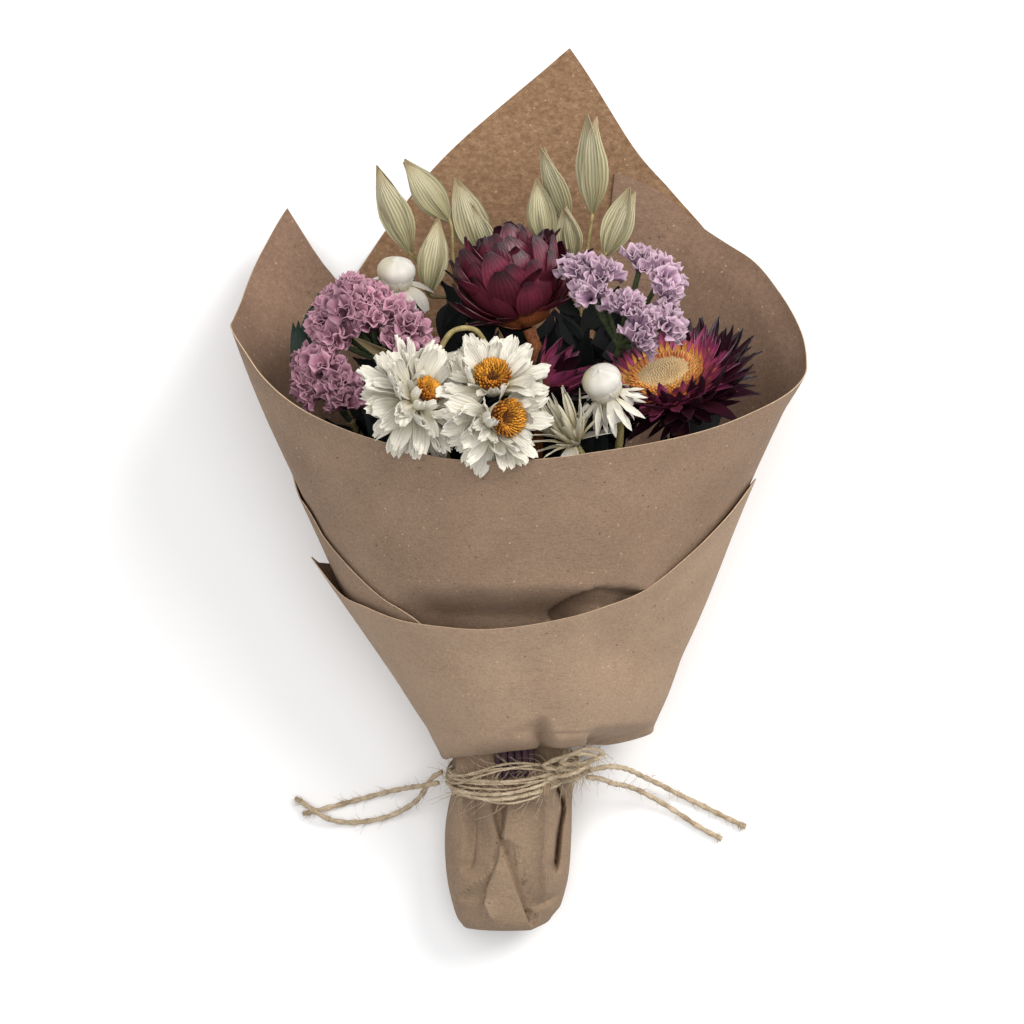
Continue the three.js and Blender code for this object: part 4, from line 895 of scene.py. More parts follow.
def collar_place(column, row):
    """Where a point of the collar's grid goes: up to the neck on a smooth curve through the sections, and
    beyond it on the cone. The gathers, hollows and folds are added to both."""
    turn = collar_turns[column]
    sections = collar_sections(turn)
    starts = np.cumsum([0] + ROW_COUNTS)
    band = np.clip(np.searchsorted(starts, row, side="right") - 1, 0, len(ROW_COUNTS) - 1)
    t = ((row - starts[band]) / np.array(ROW_COUNTS)[band])[:, None]
    picked = np.arange(len(row))
    last = len(sections) - 1
    inside = np.minimum(band, last - 1)
    p = [sections[np.clip(inside + k, 0, last), picked] for k in (-1, 0, 1, 2)]
    place = 0.5 * (2 * p[1] + (p[2] - p[0]) * t + (2 * p[0] - 5 * p[1] + 4 * p[2] - p[3]) * t ** 2
                   + (3 * p[1] - p[0] - 3 * p[2] + p[3]) * t ** 3)
    edge = edge_at(COLLAR_EDGE, COLLAR_CORNERS, turn)
    along = COLLAR_START + (edge - COLLAR_START) * t[:, 0]
    x, y = place[:, 0], place[:, 1]
    front = smoothed((turn - 95) / 20) * smoothed((265 - turn) / 20)
    tuck = tuck_at_neck(x, y)
    hollow = dent(x, y, (-3.4, 62.6), (6, 4.2), 8.0) + dent(x, y, (-13.4, 26), (3.2, 3.4), 1.6)
    hollow += dent(x, y, (-11.6, 44), (3.6, 8), 2.0)
    out = pleats(turn, y) + front * (tuck + hollow)
    for points, width, depth, kind in FOOT_FOLDS:
        out = out + front * crease(x, y, points, width, depth, kind)
    on_cone = band == len(ROW_COUNTS) - 1
    out = out * smoothed((y - 19.6) / 4) * np.where(on_cone, 0, 1)
    way = np.stack([np.sin(np.radians(turn)), 0 * turn, -np.cos(np.radians(turn))], axis=-1)
    place = place + way * out[:, None]
    place[:, 1] += 0.36 * np.maximum(place[:, 0] - 2, 0) * smoothed((26 - y) / 6)
    place[:, 2] += front * crease(place[:, 0], place[:, 1], SLIT, 0.6, -6.0)
    cone = rolled(along, turn, np.full(turn.shape, SHEET_GAP["collar"]), True)
    cx, cy = cone[:, 0], cone[:, 1]
    lip = 0.7 * smoothed((along - edge + 7) / 7)
    close = smoothed((turn - 66) / 24) * smoothed((235 - turn) / 40) * smoothed((along - 78) / 14)
    cone_out = (SHEET_GAP["collar"] - 1.4 * close + waves(along, turn) * smoothed((along - COLLAR_START) / 14)
                + lip * front
                + front * (tuck_at_neck(cx, cy) + dent(cx, cy, (25, 93), (8, 9), 3.2)
                           + dent(cx, cy, (11, 86), (7, 14), -1.4)))
    cone = rolled(along, turn, cone_out, True)
    place = np.where(on_cone[:, None], cone, place)
    place[:, 2] = np.maximum(place[:, 2], 0.02)
    return place


sheet("collar_and_foot", COLLAR_COLUMNS, sum(ROW_COUNTS), collar_place, kraft_collar, kraft_inner,
      "kraft_collar", "paper_collar")

# %% [markdown]
# ## Papery finish
#
# Dried petals, bracts and husks are thin, dry skin with fine veins from root to tip. Their colour changes
# along them, and from one to the next. So the finish reads the petal's own map, where x runs from root to tip
# and y across, and a tone that each copy is given. Ribs and streaks come from one shared group.

# %% Veins and streaks, as a group for every petal
veins, entry, leave = group(
    "papery veins",
    [("Map", "Vector"), ("Tone", "Float"), ("Ribs", "Float")],
    [("Along", "Float"), ("Streaks", "Float"), ("Ribs", "Float"), ("Height", "Float")],
)
parts = add(veins, "ShaderNodeSeparateXYZ", Vector=entry.outputs["Map"])
along, across = parts.outputs[0], parts.outputs[1]
stretched = add(veins, "ShaderNodeCombineXYZ", X=maths(veins, "MULTIPLY", along, 2.2),
                Y=maths(veins, "MULTIPLY", across, entry.outputs["Ribs"]),
                Z=maths(veins, "MULTIPLY", entry.outputs["Tone"], 41.0))
streaks = add(veins, "ShaderNodeTexNoise", Vector=stretched.outputs[0], Scale=1.0, Detail=4.0).outputs["Fac"]
wave = maths(veins, "SINE",
             maths(veins, "MULTIPLY", maths(veins, "MULTIPLY", across, entry.outputs["Ribs"]), 6.283))
ribs = maths(veins, "MULTIPLY_ADD", wave, 0.5, 0.5)
relief = maths(veins, "ADD", maths(veins, "MULTIPLY", ribs, 0.6), streaks)
give(veins, leave, {"Along": along, "Streaks": streaks, "Ribs": ribs, "Height": relief})
print("the group of papery veins has", len(veins.nodes), "nodes")


def papery(name, stops, rib_colour=None, ribs=9.0, rib_share=0.3, dim=0.72, bright=1.12, roughness=0.5,
           specular=0.35, depth=0.00012, sheen=0.0):
    """A dry petal finish. stops are pairs of place along the petal and colour, rib_colour lies between the
    ribs."""
    material, tree, shader = finish(name, roughness, specular)
    shader.inputs["Sheen Weight"].default_value = sheen
    tone = add(tree, "ShaderNodeAttribute", {"attribute_name": "tone"}).outputs["Fac"]
    made = add(tree, "ShaderNodeGroup", {"node_tree": veins}, Map=add(tree, "ShaderNodeUVMap").outputs[0],
               Tone=tone, Ribs=ribs)
    colour = ramp(tree, made.outputs["Along"], [(place, paint(*rgb)) for place, rgb in stops])
    if rib_colour:
        gap = maths(tree, "MULTIPLY", maths(tree, "SUBTRACT", 1.0, made.outputs["Ribs"]), rib_share)
        colour = blended(tree, gap, colour, paint(*rib_colour))
    light = maths(tree, "MULTIPLY_ADD", tone, bright - dim, dim)
    light = maths(tree, "MULTIPLY", light, maths(tree, "MULTIPLY_ADD", made.outputs["Streaks"], 0.6, 0.7))
    shade = add(tree, "ShaderNodeCombineColor", Red=light, Green=light, Blue=light).outputs[0]
    dress(tree, shader, blended(tree, 1.0, colour, shade, "MULTIPLY"), made.outputs["Height"], 0.5, depth)
    return material


# %% [markdown]
# ## One petal, made by hand
#
# A petal is a small sheet. It could be cut from a curve, but bending it row by row is closer to how a paper
# flower is made: a flat grid is narrowed at each row to the petal's outline, its sides are lifted, then
# everything beyond a row is turned a little about that row, again and again to the tip. Every second column
# can be lifted into ruffles, the tip can be torn a little, a random nudge crumples it, and a Solidify
# modifier gives it two faces. It grows from the origin along X, in millimetres, with its face up.

# %% Shape a petal from a grid
models = []


def pick(piece, wanted):
    """Selects, in edit mode, the points that wanted(point) accepts."""
    bpy.ops.mesh.select_all(action="DESELECT")
    mesh = bmesh.from_edit_mesh(piece.data)
    for point in mesh.verts:
        point.select_set(wanted(point))
    mesh.select_flush_mode()
    bmesh.update_edit_mesh(piece.data)


def as_model(piece, material):
    """Gives a model its finish and keeps it to be copied."""
    piece.data.materials.append(material)
    models.append(piece)
    return piece


def petal(name, material, length, widths, bend=0.0, cup=0.3, across=4, crumple=0.0, thick=0.14, seed=1,
          ruffle=0.0, ragged=0.0):
    """A petal, bract, husk or leaf. widths are its widths at even rows, bend the whole angle that it curls up
    by, as one number or one for each row, ruffle the height of its ruffles and ragged the depth of its torn
    tip."""
    torn = random.Random(seed)
    rows = len(widths) - 1
    bends = bend if isinstance(bend, (list, tuple)) else [bend / rows] * rows
    clear_selection()
    bpy.ops.mesh.primitive_grid_add(x_subdivisions=rows, y_subdivisions=across, size=1)
    piece = bpy.context.object
    piece.name = name
    bpy.ops.object.mode_set(mode="EDIT")
    bpy.ops.mesh.select_mode(type="VERT")
    bpy.ops.transform.translate(value=(0.5, 0, 0))
    bpy.ops.transform.resize(value=(length, 1, 1), center_override=(0, 0, 0))
    for row, width in enumerate(widths):
        pick(piece, lambda point: point.index % (rows + 1) == row)
        bpy.ops.transform.resize(value=(1, max(width, 0.02), 1), center_override=(0, 0, 0))
    mesh = bmesh.from_edit_mesh(piece.data)
    for point in mesh.verts:
        row, column = point.index % (rows + 1), point.index // (rows + 1)
        point.co.z += cup * abs(point.co.y) + ruffle * (row / rows) ** 2 * (-1) ** column
        point.co.x -= ragged * torn.random() * max(0, row - rows + 2)
    middle = across // 2 * (rows + 1)
    for row in range(rows):
        mesh = bmesh.from_edit_mesh(piece.data)
        mesh.verts.ensure_lookup_table()
        hinge = mesh.verts[middle + row].co.copy()
        pick(piece, lambda point: point.index % (rows + 1) > row)
        bpy.ops.transform.rotate(value=math.radians(bends[row]), orient_axis="Y", center_override=hinge)
    if crumple:
        pick(piece, lambda point: point.index % (rows + 1) > 1)
        bpy.ops.transform.vertex_random(offset=crumple, seed=seed)
    bpy.ops.object.mode_set(mode="OBJECT")
    wall = piece.modifiers.new("thickness", "SOLIDIFY")
    wall.thickness = thick
    wall.offset = 0
    bpy.ops.object.modifier_apply(modifier=wall.name)
    bpy.ops.object.shade_smooth_by_angle(angle=math.radians(70))
    return as_model(piece, material)


# %% Plant copies of a model
HEADS = {
    "strawflower_center": ((1.2, 172, 49), (-0.3, 0.93, 0.12)),
    "strawflower_lower": ((2.4, 155.6, 57), (0.72, 0.55, 0.42)),
    "strawflower_right": ((37.2, 150.2, 55.6), (-0.24, 0.8, 0.54)),
    "everlasting_front": ((-8.2, 149, 89.8), (0.6, -0.06, 0.8)),
    "everlasting_middle": ((-7.6, 154.6, 82.3), (0.02, 0.58, 0.81)),
    "everlasting_left": ((-27, 151.6, 84.2), (0.58, 0.5, 0.64)),
    "everlasting_bud_left": ((-31.9, 178.8, 45.5), (0.05, 0.86, 0.5)),
    "everlasting_bud_right": ((21, 151.8, 78), (-0.3, 0.72, 0.62)),
    "everlasting_side": ((12.6, 142.4, 76.5), (-0.42, 0.74, 0.5)),
}


def facing_frame(at, facing):
    """The frame of a flower head. Its origin is where its stem ends, and +Z is the way that it faces."""
    turn = Vector((0, 0, 1)).rotation_difference(Vector(facing).normalized())
    return Matrix.Translation(spot(at)) @ turn.to_matrix().to_4x4() @ Matrix.Scale(MM, 4)


def whorl(frame, kinds, count, radius, height, rise, rng, size=1.0, jitter=4.0, roll=8.0, turn=0.0,
          tone=(0, 1)):
    """A ring of copies that leave a head at that radius, height and angle. Returns model, place and tone of
    each."""
    ring = []
    for i in range(count):
        angle = turn + 360 * (i + rng.uniform(-0.22, 0.22)) / count
        place = (Matrix.Rotation(math.radians(angle), 4, "Z") @ Matrix.Translation((radius, 0, height))
                 @ Matrix.Rotation(math.radians(-rise - rng.uniform(-jitter, jitter)), 4, "Y")
                 @ Matrix.Rotation(math.radians(rng.uniform(-roll, roll)), 4, "X")
                 @ Matrix.Scale(size * rng.uniform(0.9, 1.08), 4))
        ring.append((rng.choice(kinds), frame @ place, rng.uniform(*tone)))
    return ring


def planted(name, plants):
    """One mesh of all the copies, each with its own place and its own tone."""
    clear_selection()
    for model, place, tone in plants:
        copy = model.copy()
        copy.data = model.data.copy()
        copy.data.transform(place)
        tones = copy.data.attributes.new("tone", "FLOAT", "POINT")
        tones.data.foreach_set("value", [tone] * len(copy.data.vertices))
        bpy.context.collection.objects.link(copy)
        copy.select_set(True)
    bpy.context.view_layer.objects.active = copy
    bpy.ops.object.join()
    piece = bpy.context.object
    piece.name = piece.data.name = name
    print(name, "has", len(plants), "copies and", len(piece.data.polygons), "faces")
    return piece


def drawn_up(rings):
    """In edit mode, extrudes the selected ring from each radius and height to the next."""
    for (radius, height), (next_radius, next_height) in zip(rings, rings[1:]):
        bpy.ops.mesh.extrude_region_move(TRANSFORM_OT_translate={"value": (0, 0, next_height - height)})
        share = next_radius / radius
        bpy.ops.transform.resize(value=(share, share, 1), center_override=(0, 0, next_height))


def bun(name, material, profile, sides=24):
    """A round body for a head's middle: a circle that is extruded and drawn in, ring by ring, and closed."""
    clear_selection()
    bpy.ops.mesh.primitive_circle_add(vertices=sides, radius=1, fill_type="NGON")
    piece = bpy.context.object
    piece.name = name
    bpy.ops.object.mode_set(mode="EDIT")
    bpy.ops.mesh.select_all(action="SELECT")
    radius, height = profile[0]
    bpy.ops.transform.resize(value=(radius, radius, 1), center_override=(0, 0, 0))
    bpy.ops.transform.translate(value=(0, 0, height))
    drawn_up(profile)
    bpy.ops.mesh.select_all(action="SELECT")
    bpy.ops.mesh.normals_make_consistent(inside=False)
    bpy.ops.object.mode_set(mode="OBJECT")
    bpy.ops.object.shade_smooth()
    return as_model(piece, material)


# %% [markdown]
# ## Strawflowers
#
# A strawflower's colour is in its bracts: stiff, glossy scales that overlap like roof tiles. The middle head
# is still shut, so its bracts climb and close over it, dark at their tips and orange where they leave the
# stem. They are modelled as broad, dark and orange kinds of scale and planted ring by ring, because tiles
# only look right one by one.

# %% Burgundy scales
burgundy = papery("burgundy_bract", [(0.0, (156, 88, 48)), (0.14, (134, 60, 54)), (0.34, (120, 47, 63)),
                                     (0.8, (110, 44, 61)), (0.96, (50, 22, 33))],
                  rib_colour=(58, 20, 34), ribs=7, rib_share=0.35, dim=0.58, bright=1.22, roughness=0.34,
                  specular=0.42)
SCALE = [3.4, 5.6, 7.4, 8.6, 9.2, 9.0, 8.0, 5.8, 2.2]
scales = [petal(f"scale_{i}", burgundy, 17 + i, [w * (1 - 0.05 * i) for w in SCALE], bend=bend, cup=0.22,
                crumple=0.14, seed=i) for i, bend in enumerate((68, 78, 60))]
tips = [petal(f"dark_scale_{i}", burgundy, 13, [2.4, 4.0, 5.2, 5.4, 4.6, 3.0, 0.5], bend=bend, cup=0.3,
              crumple=0.3, seed=20 + i) for i, bend in enumerate((26, -14, 50))]
orange = papery("orange_scale", [(0.0, (150, 88, 50)), (0.5, (176, 102, 60)), (1.0, (120, 54, 50))],
                rib_colour=(96, 48, 30), ribs=7, rib_share=0.4, dim=0.75, bright=1.15, roughness=0.4,
                specular=0.4)
low_scales = [petal(f"low_scale_{i}", orange, 8.5, [3, 4.6, 5.6, 5.4, 4.2, 0.8], bend=bend, cup=0.25,
                    crumple=0.15, seed=26 + i) for i, bend in enumerate((40, 64))]
core = bun("shut_middle", burgundy,
           [(2, 0.2), (4.2, 2.2), (5.8, 5), (6.4, 8.5), (5.6, 12), (3.4, 14.6), (0.4, 15.6)])
rng = random.Random(11)
head = facing_frame(*HEADS["strawflower_center"])
plants = [(core, head, 0.3)]
for ring in (
    (low_scales, 9, 1.6, 0.2, 8, 1.0), (tips, 12, 4.6, 3.0, -4, 0.8), (scales, 12, 4.8, 3.0, 4, 0.84),
    (scales, 13, 5.4, 4.2, 14, 0.96), (scales, 12, 5.8, 5.6, 26, 1.0), (tips, 12, 6.2, 7.0, 34, 1.25),
    (scales, 12, 5.8, 7.2, 38, 0.98), (scales, 11, 5.0, 9.0, 48, 0.92), (tips, 9, 4.4, 10.6, 56, 1.1),
    (scales, 9, 4.0, 10.6, 58, 0.82), (scales, 7, 2.6, 12.0, 68, 0.68),
):
    kinds, count, radius, height, rise, size = ring
    plants += whorl(head, kinds, count, radius, height, rise, rng, size, turn=17 * height, roll=14)
shut = planted("strawflower_shut", plants)
belongs(shut, "burgundy_bract", "strawflower_center")

# %% [markdown]
# The small one below it is half hidden and shows only a few narrow bracts, magenta along the middle and dark
# at the edge. The open one on the right is the show piece: a cream velvet disc, a fringe of yellow and
# orange, then magenta bracts, and dark pointed ones outside. Its bracts are narrow, so they get their own,
# slimmer kinds.

# %% Magenta and dark bracts
magenta = papery("magenta_bract", [(0.0, (232, 172, 92)), (0.2, (222, 128, 98)), (0.42, (192, 88, 126)),
                                   (0.72, (146, 60, 98)), (0.95, (72, 26, 46))],
                 rib_colour=(112, 30, 66), ribs=5, rib_share=0.4, dim=0.7, bright=1.25, roughness=0.36,
                 specular=0.5)
outer_dark = papery("dark_bract", [(0.0, (88, 34, 48)), (0.35, (68, 26, 40)), (0.7, (50, 20, 32)),
                                   (1.0, (36, 16, 24))],
                    rib_colour=(34, 14, 24), ribs=5, rib_share=0.45, dim=0.6, bright=1.3, roughness=0.34,
                    specular=0.5)
golden = papery("golden_fringe", [(0.0, (200, 152, 88)), (0.45, (222, 168, 84)), (0.8, (212, 132, 66)),
                                  (1.0, (186, 84, 80))],
                ribs=3, dim=0.8, bright=1.15, roughness=0.5)
NARROW = [1.5, 2.4, 3.0, 3.2, 2.9, 2.3, 1.4, 0.3]
slim = [petal(f"slim_bract_{i}", magenta, 10, NARROW, bend=bend, cup=0.42, crumple=0.14, seed=30 + i)
        for i, bend in enumerate((30, 44, 16))]
dark = [petal(f"dark_bract_{i}", outer_dark, 14, [w * 1.1 for w in NARROW], bend=bend, cup=0.4, crumple=0.2,
              seed=40 + i) for i, bend in enumerate((24, -6, 40))]
fringe = [petal(f"fringe_{i}", golden, 4.4, [0.9, 1.2, 1.1, 0.7, 0.15], bend=bend, cup=0.3, across=2,
                thick=0.1, seed=50 + i) for i, bend in enumerate((20, 50))]
print("bracts for the open head:", [bract.name for bract in slim + dark + fringe])

# %% Half hidden strawflower
rng = random.Random(31)
head = facing_frame(*HEADS["strawflower_lower"])
plants = [(bun("small_middle", outer_dark, [(1.6, 0.2), (2.6, 2.4), (2.9, 4.6), (1.6, 6.6), (0.3, 7.4)]),
           head, 0.4)]
for kinds, count, radius, height, rise, size in (
    (dark, 9, 2.4, 1.6, 20, 0.72), (dark, 9, 2.6, 2.8, 40, 0.76), (slim, 8, 2.6, 3.6, 44, 1.1),
    (slim, 6, 2.2, 4.6, 60, 1.05), (dark, 6, 1.6, 5.4, 72, 0.76),
):
    plants += whorl(head, kinds, count, radius, height, rise, rng, size, turn=13 * height, jitter=8,
                    tone=(0, 0.4))
half = planted("strawflower_half", plants)
belongs(half, "plum_bract", "strawflower_lower")

# %% Open strawflower
rng = random.Random(23)
head = facing_frame(*HEADS["strawflower_right"])
cup_body = bun("cup_body", outer_dark, [(2, 0.2), (5.6, 2.4), (7.4, 5.4), (8.6, 9), (9, 11), (6, 11.5)])
plants = [(cup_body, head, 0.4)]
for kinds, count, radius, height, rise, size, tone in (
    (dark, 20, 5.6, 3.4, -14, 0.7, (0, 0.5)), (dark, 24, 6.2, 4.4, 2, 0.94, (0, 0.7)),
    (dark, 26, 7.0, 5.6, 13, 1.12, (0.1, 0.9)), (dark, 26, 7.6, 6.8, 24, 1.14, (0.2, 1)),
    (dark, 24, 8.0, 7.6, 32, 0.9, (0.3, 1)), (slim, 30, 8.2, 8.6, 6, 1.12, (0, 0.8)),
    (slim, 30, 8.5, 9.4, 22, 1.04, (0.2, 1)), (slim, 28, 8.6, 10.0, 40, 0.8, (0.5, 1)),
    (fringe, 42, 8.8, 10.6, 12, 1.2, (0.2, 1)), (fringe, 42, 8.6, 11.2, 34, 1.0, (0.5, 1)),
):
    nodding = head @ Matrix.Translation((3.0 if kinds is dark else 0, 0, 0))
    plants += whorl(nodding, kinds, count, radius, height, rise, rng, size, turn=11 * height, jitter=6,
                    tone=tone)
wide_open = planted("strawflower_open", plants)
belongs(wide_open, "plum_bract", "strawflower_right")

# %% [markdown]
# ## Discs
#
# A disc is a crowd of tiny florets, set in the spiral that all daisies share: each next one is turned by
# 137.5 degrees. It could be a bumpy texture, but in the daisies the florets stand up as a ring round a darker
# hollow, so a grain is modelled, from a small ball that is drawn out, and planted along the spiral.

# %% Grains
cream_velvet = fibrous("cream_velvet", (176, 138, 84), (212, 186, 136), 1800.0, 0.9, 0.0002)
velvet_grain = papery("velvet_grain", [(0.0, (186, 154, 104)), (1.0, (202, 178, 138))], dim=0.92, bright=1.06,
                      roughness=0.85, specular=0.15, sheen=0.4)
gold_grain = papery("gold_grain", [(0.0, (138, 74, 20)), (0.5, (190, 118, 34)), (1.0, (224, 166, 62))],
                    dim=0.5, bright=1.25, roughness=0.7, specular=0.2)
brown_grain = papery("brown_grain", [(0.0, (92, 54, 24)), (1.0, (140, 88, 40))], dim=0.6, bright=1.2,
                     roughness=0.8, specular=0.15)


def grain_model(name, material, width, tall):
    """A floret: a small ball that is drawn up, with its top pinched."""
    clear_selection()
    bpy.ops.mesh.primitive_ico_sphere_add(subdivisions=1, radius=width / 2)
    piece = bpy.context.object
    piece.name = name
    bpy.ops.object.mode_set(mode="EDIT")
    bpy.ops.mesh.select_mode(type="VERT")
    pick(piece, lambda point: point.co.z > 0)
    bpy.ops.transform.translate(value=(0, 0, tall))
    bpy.ops.transform.resize(value=(0.6, 0.6, 1), center_override=(0, 0, tall))
    bpy.ops.object.mode_set(mode="OBJECT")
    bpy.ops.object.shade_smooth()
    return as_model(piece, material)


GOLDEN_ANGLE = 137.508  # degrees
GOLDEN_TURN = 2.39996  # the same in radians


def spiral(head, count, radius, seat, profile, kinds, rng, lean=18.0):
    """Grains along the spiral. profile gives the height over the seat at shares of the radius, and kinds
    gives the grain that stands beyond each share of the radius."""
    plants = []
    for k in range(count):
        share = math.sqrt((k + 0.5) / count)
        angle = k * GOLDEN_ANGLE
        grain = [kind for start, kind in kinds if share >= start][-1]
        high = float(np.interp(share, *zip(*profile)))
        place = (Matrix.Rotation(math.radians(angle), 4, "Z")
                 @ Matrix.Translation((radius * share, 0, seat + high))
                 @ Matrix.Rotation(math.radians(lean * share + rng.uniform(-8, 8)), 4, "Y")
                 @ Matrix.Scale(rng.uniform(0.8, 1.2), 4))
        plants.append((grain, head @ place, rng.random()))
    return plants


velvet = grain_model("velvet_floret", velvet_grain, 0.66, 0.1)
amber = grain_model("amber_floret", golden, 0.8, 1.2)
gold = grain_model("gold_floret", gold_grain, 0.78, 0.55)
brown = grain_model("brown_floret", brown_grain, 0.6, 0.4)
rng = random.Random(5)
head = facing_frame(*HEADS["strawflower_right"])
seat = bun("cream_seat", cream_velvet,
           [(8.3, 11.2), (8.4, 12.0), (7.2, 12.9), (4.4, 13.0), (2.0, 12.6), (0.3, 12.5)])
plants = [(seat, head, 0.6)]
plants += spiral(head, 560, 8.5, 11.8, [(0, 0.8), (0.5, 1.2), (0.75, 1.0), (1, 0)],
                 [(0, velvet), (0.74, amber)], rng, lean=50)
disc = planted("cream_disc", plants)
belongs(disc, "yellow_disc", "strawflower_right_disc")

# %% [markdown]
# ## White everlastings
#
# The white heads are everlasting daisies: thin, pointed, crumpled petals like rice paper, white with a warm
# tint at their roots. In life no two petals agree, so five kinds are modelled with different curls, ruffles
# and torn tips, and every ring is planted with a wide spread of angles.

# %% White petals
white = papery("white_petal", [(0.0, (178, 166, 122)), (0.18, (210, 203, 181)), (0.6, (221, 216, 203)),
                               (1.0, (227, 222, 210))],
               rib_colour=(190, 183, 166), ribs=6, rib_share=0.35, dim=0.86, bright=1.06, roughness=0.55,
               specular=0.3, depth=0.0002)
bud_white = papery("bud_white", [(0.0, (182, 172, 144)), (0.3, (196, 190, 178)), (1.0, (204, 199, 191))],
                   ribs=5, dim=0.88, bright=1.04, roughness=0.42, specular=0.4)
TOOTHED = [1.6, 2.6, 3.3, 3.8, 4.1, 4.1, 3.6, 2.3]
white_petals = [petal(f"white_petal_{i}", white, 10.4 - 0.5 * i, [w * (1 - 0.05 * i) for w in TOOTHED],
                      bend=bend, cup=cup, across=6, crumple=0.26, thick=0.1, seed=60 + i, ruffle=ruffle,
                      ragged=0.55)
                for i, (bend, cup, ruffle) in enumerate(((10, 0.12, 0.3), (40, 0.3, 0.25), (-34, 0.1, 0.4),
                                                         (70, 0.4, 0.2), (-8, 0.55, 0.15)))]


def daisy(name, node, disc_radius, turn, seed, rings, grown=1.0, bare=None):
    """An open everlasting with its ring of gold florets, which is a piece of its own. grown is the size of
    its petals, and no petal above the first rings points the bare way, where another head presses against
    it."""
    rng = random.Random(seed)
    head = facing_frame(*HEADS[node])
    body = bun(f"{name}_body", white, [(1.2, 0.1), (2.6, 1.8), (3.6, 4), (4, 5.5), (3, 5.8)], sides=16)
    plants = [(body, head, 0.4)]
    for count, radius, height, rise, size in rings:
        plants += whorl(head, white_petals, count, radius, height, rise, rng, size * grown,
                        turn=turn + 14 * height, jitter=16, roll=34)
    if bare:
        plants = [one for one in plants
                  if (one[1].to_3x3() @ Vector((1, 0, 0))).normalized().dot(Vector(bare)) < 0.5]
    flower = planted(name, plants)
    belongs(flower, "white_petal", node)
    saucer = bun(f"{name}_saucer", brown_grain, [(disc_radius * 0.9, 5.9), (disc_radius * 0.96, 7.0),
                                                 (disc_radius * 0.66, 7.4), (0.6, 6.0)], sides=16)
    plants = [(saucer, head, 0.4)]
    plants += spiral(head, 170, disc_radius, 6.4, [(0, -0.3), (0.35, 0), (0.6, 1.7), (0.82, 2.1), (1, 0.8)],
                     [(0, brown), (0.36, gold)], rng, lean=34)
    ring = planted(f"{name}_ring", plants)
    belongs(ring, "brown_disc", f"{node}_disc")


RINGS = [(13, 2.4, 1.0, -34, 1.0), (15, 2.8, 1.6, -16, 1.06), (16, 3.1, 2.3, 0, 1.06),
         (15, 3.4, 3.2, 14, 1.0), (14, 3.8, 4.2, 28, 0.82), (11, 4.1, 5.0, 42, 0.58)]
daisy("daisy_front", "everlasting_front", 4.5, 0, 41, RINGS, 1.08, bare=(-0.1, 0.98, 0.1))
daisy("daisy_middle", "everlasting_middle", 4.3, 11, 43, RINGS, 1.1, bare=(0.2, -0.9, 0.3))
daisy("daisy_left", "everlasting_left", 3.0, 7, 47, RINGS, 1.25)

# %% [markdown]
# Two heads are still buds: a smooth dome of petals that lie tight over each other, above a skirt of open
# ones. The dome could be a plain ball, but the edges of its petals catch the light, so broad petals are bent
# over a smaller dome. One more head is seen from its side, narrow and greenish.

# %% Buds and the side head
BROAD = [2.6, 4.4, 5.4, 5.8, 5.4, 4.2, 2.4, 0.8]
lids = [petal(f"lid_{i}", bud_white, 10.6, BROAD, bend=bend, cup=0.2, crumple=0.06, thick=0.12, seed=80 + i)
        for i, bend in enumerate((104, 112))]
skirt = [petal(f"skirt_{i}", bud_white, 10, [2.6, 4.4, 5.8, 6.5, 6.3, 5.2, 3.0], bend=bend, cup=0.2,
               crumple=0.16, seed=90 + i) for i, bend in enumerate((-30, -46, -20))]
narrow = [petal(f"narrow_white_{i}", white, 10.5, [1.0, 1.7, 2.2, 2.4, 2.2, 1.5, 0.3], bend=bend, cup=0.45,
                crumple=0.22, thick=0.1, seed=100 + i) for i, bend in enumerate((10, -26, 24))]
DOME = [(1.6, 0.4), (3.2, 3.6), (4.2, 6.4), (4.8, 7.8), (4.7, 9.2), (3.9, 10.4), (2.4, 11.1), (0.5, 11.3)]


def bud(name, node, rings, seed):
    """A shut head over open petals."""
    rng = random.Random(seed)
    head = facing_frame(*HEADS[node])
    plants = [(bun(f"{name}_dome", bud_white, DOME, sides=28), head, 0.7)]
    for count, radius, height, rise, size in ((7, 3.9, 4.4, 58, 0.86), (6, 3.7, 5.2, 66, 0.8)):
        plants += whorl(head, lids, count, radius, height, rise, rng, size, jitter=2, roll=2,
                        turn=25 * height, tone=(0.4, 1))
    for kinds, count, radius, height, rise, size in rings:
        plants += whorl(head, kinds, count, radius, height, rise, rng, size, jitter=9, roll=14,
                        turn=19 * height)
    flower = planted(name, plants)
    belongs(flower, "white_petal", node)


bud("bud_left", "everlasting_bud_left",
    [(skirt, 7, 2.4, 3.0, -34, 0.92), (skirt, 7, 2.9, 4.2, -16, 0.86)], 53)
bud("bud_right", "everlasting_bud_right",
    [(narrow, 15, 2.4, 2.2, -50, 0.74), (narrow, 12, 2.8, 3.4, -34, 0.7),
     (skirt, 5, 3.0, 4.2, -42, 0.64)], 59)
greenish = papery("greenish_petal", [(0.0, (150, 138, 96)), (0.3, (202, 190, 156)), (0.7, (224, 216, 194)),
                                     (1.0, (230, 223, 206))],
                  rib_colour=(150, 140, 100), ribs=6, rib_share=0.5, dim=0.78, bright=1.06, roughness=0.55)
reeds = [petal(f"reed_{i}", greenish, 12, [0.6, 1.1, 1.4, 1.4, 1.1, 0.7, 0.2], bend=bend, cup=0.5,
               crumple=0.22, thick=0.1, seed=110 + i) for i, bend in enumerate((16, -22, 30))]
rng = random.Random(61)
head = facing_frame(*HEADS["everlasting_side"])
plants = [(bun("side_body", greenish, [(1.1, 0.1), (2.2, 2), (2.6, 5), (0.6, 6.4)], sides=14), head, 0.3)]
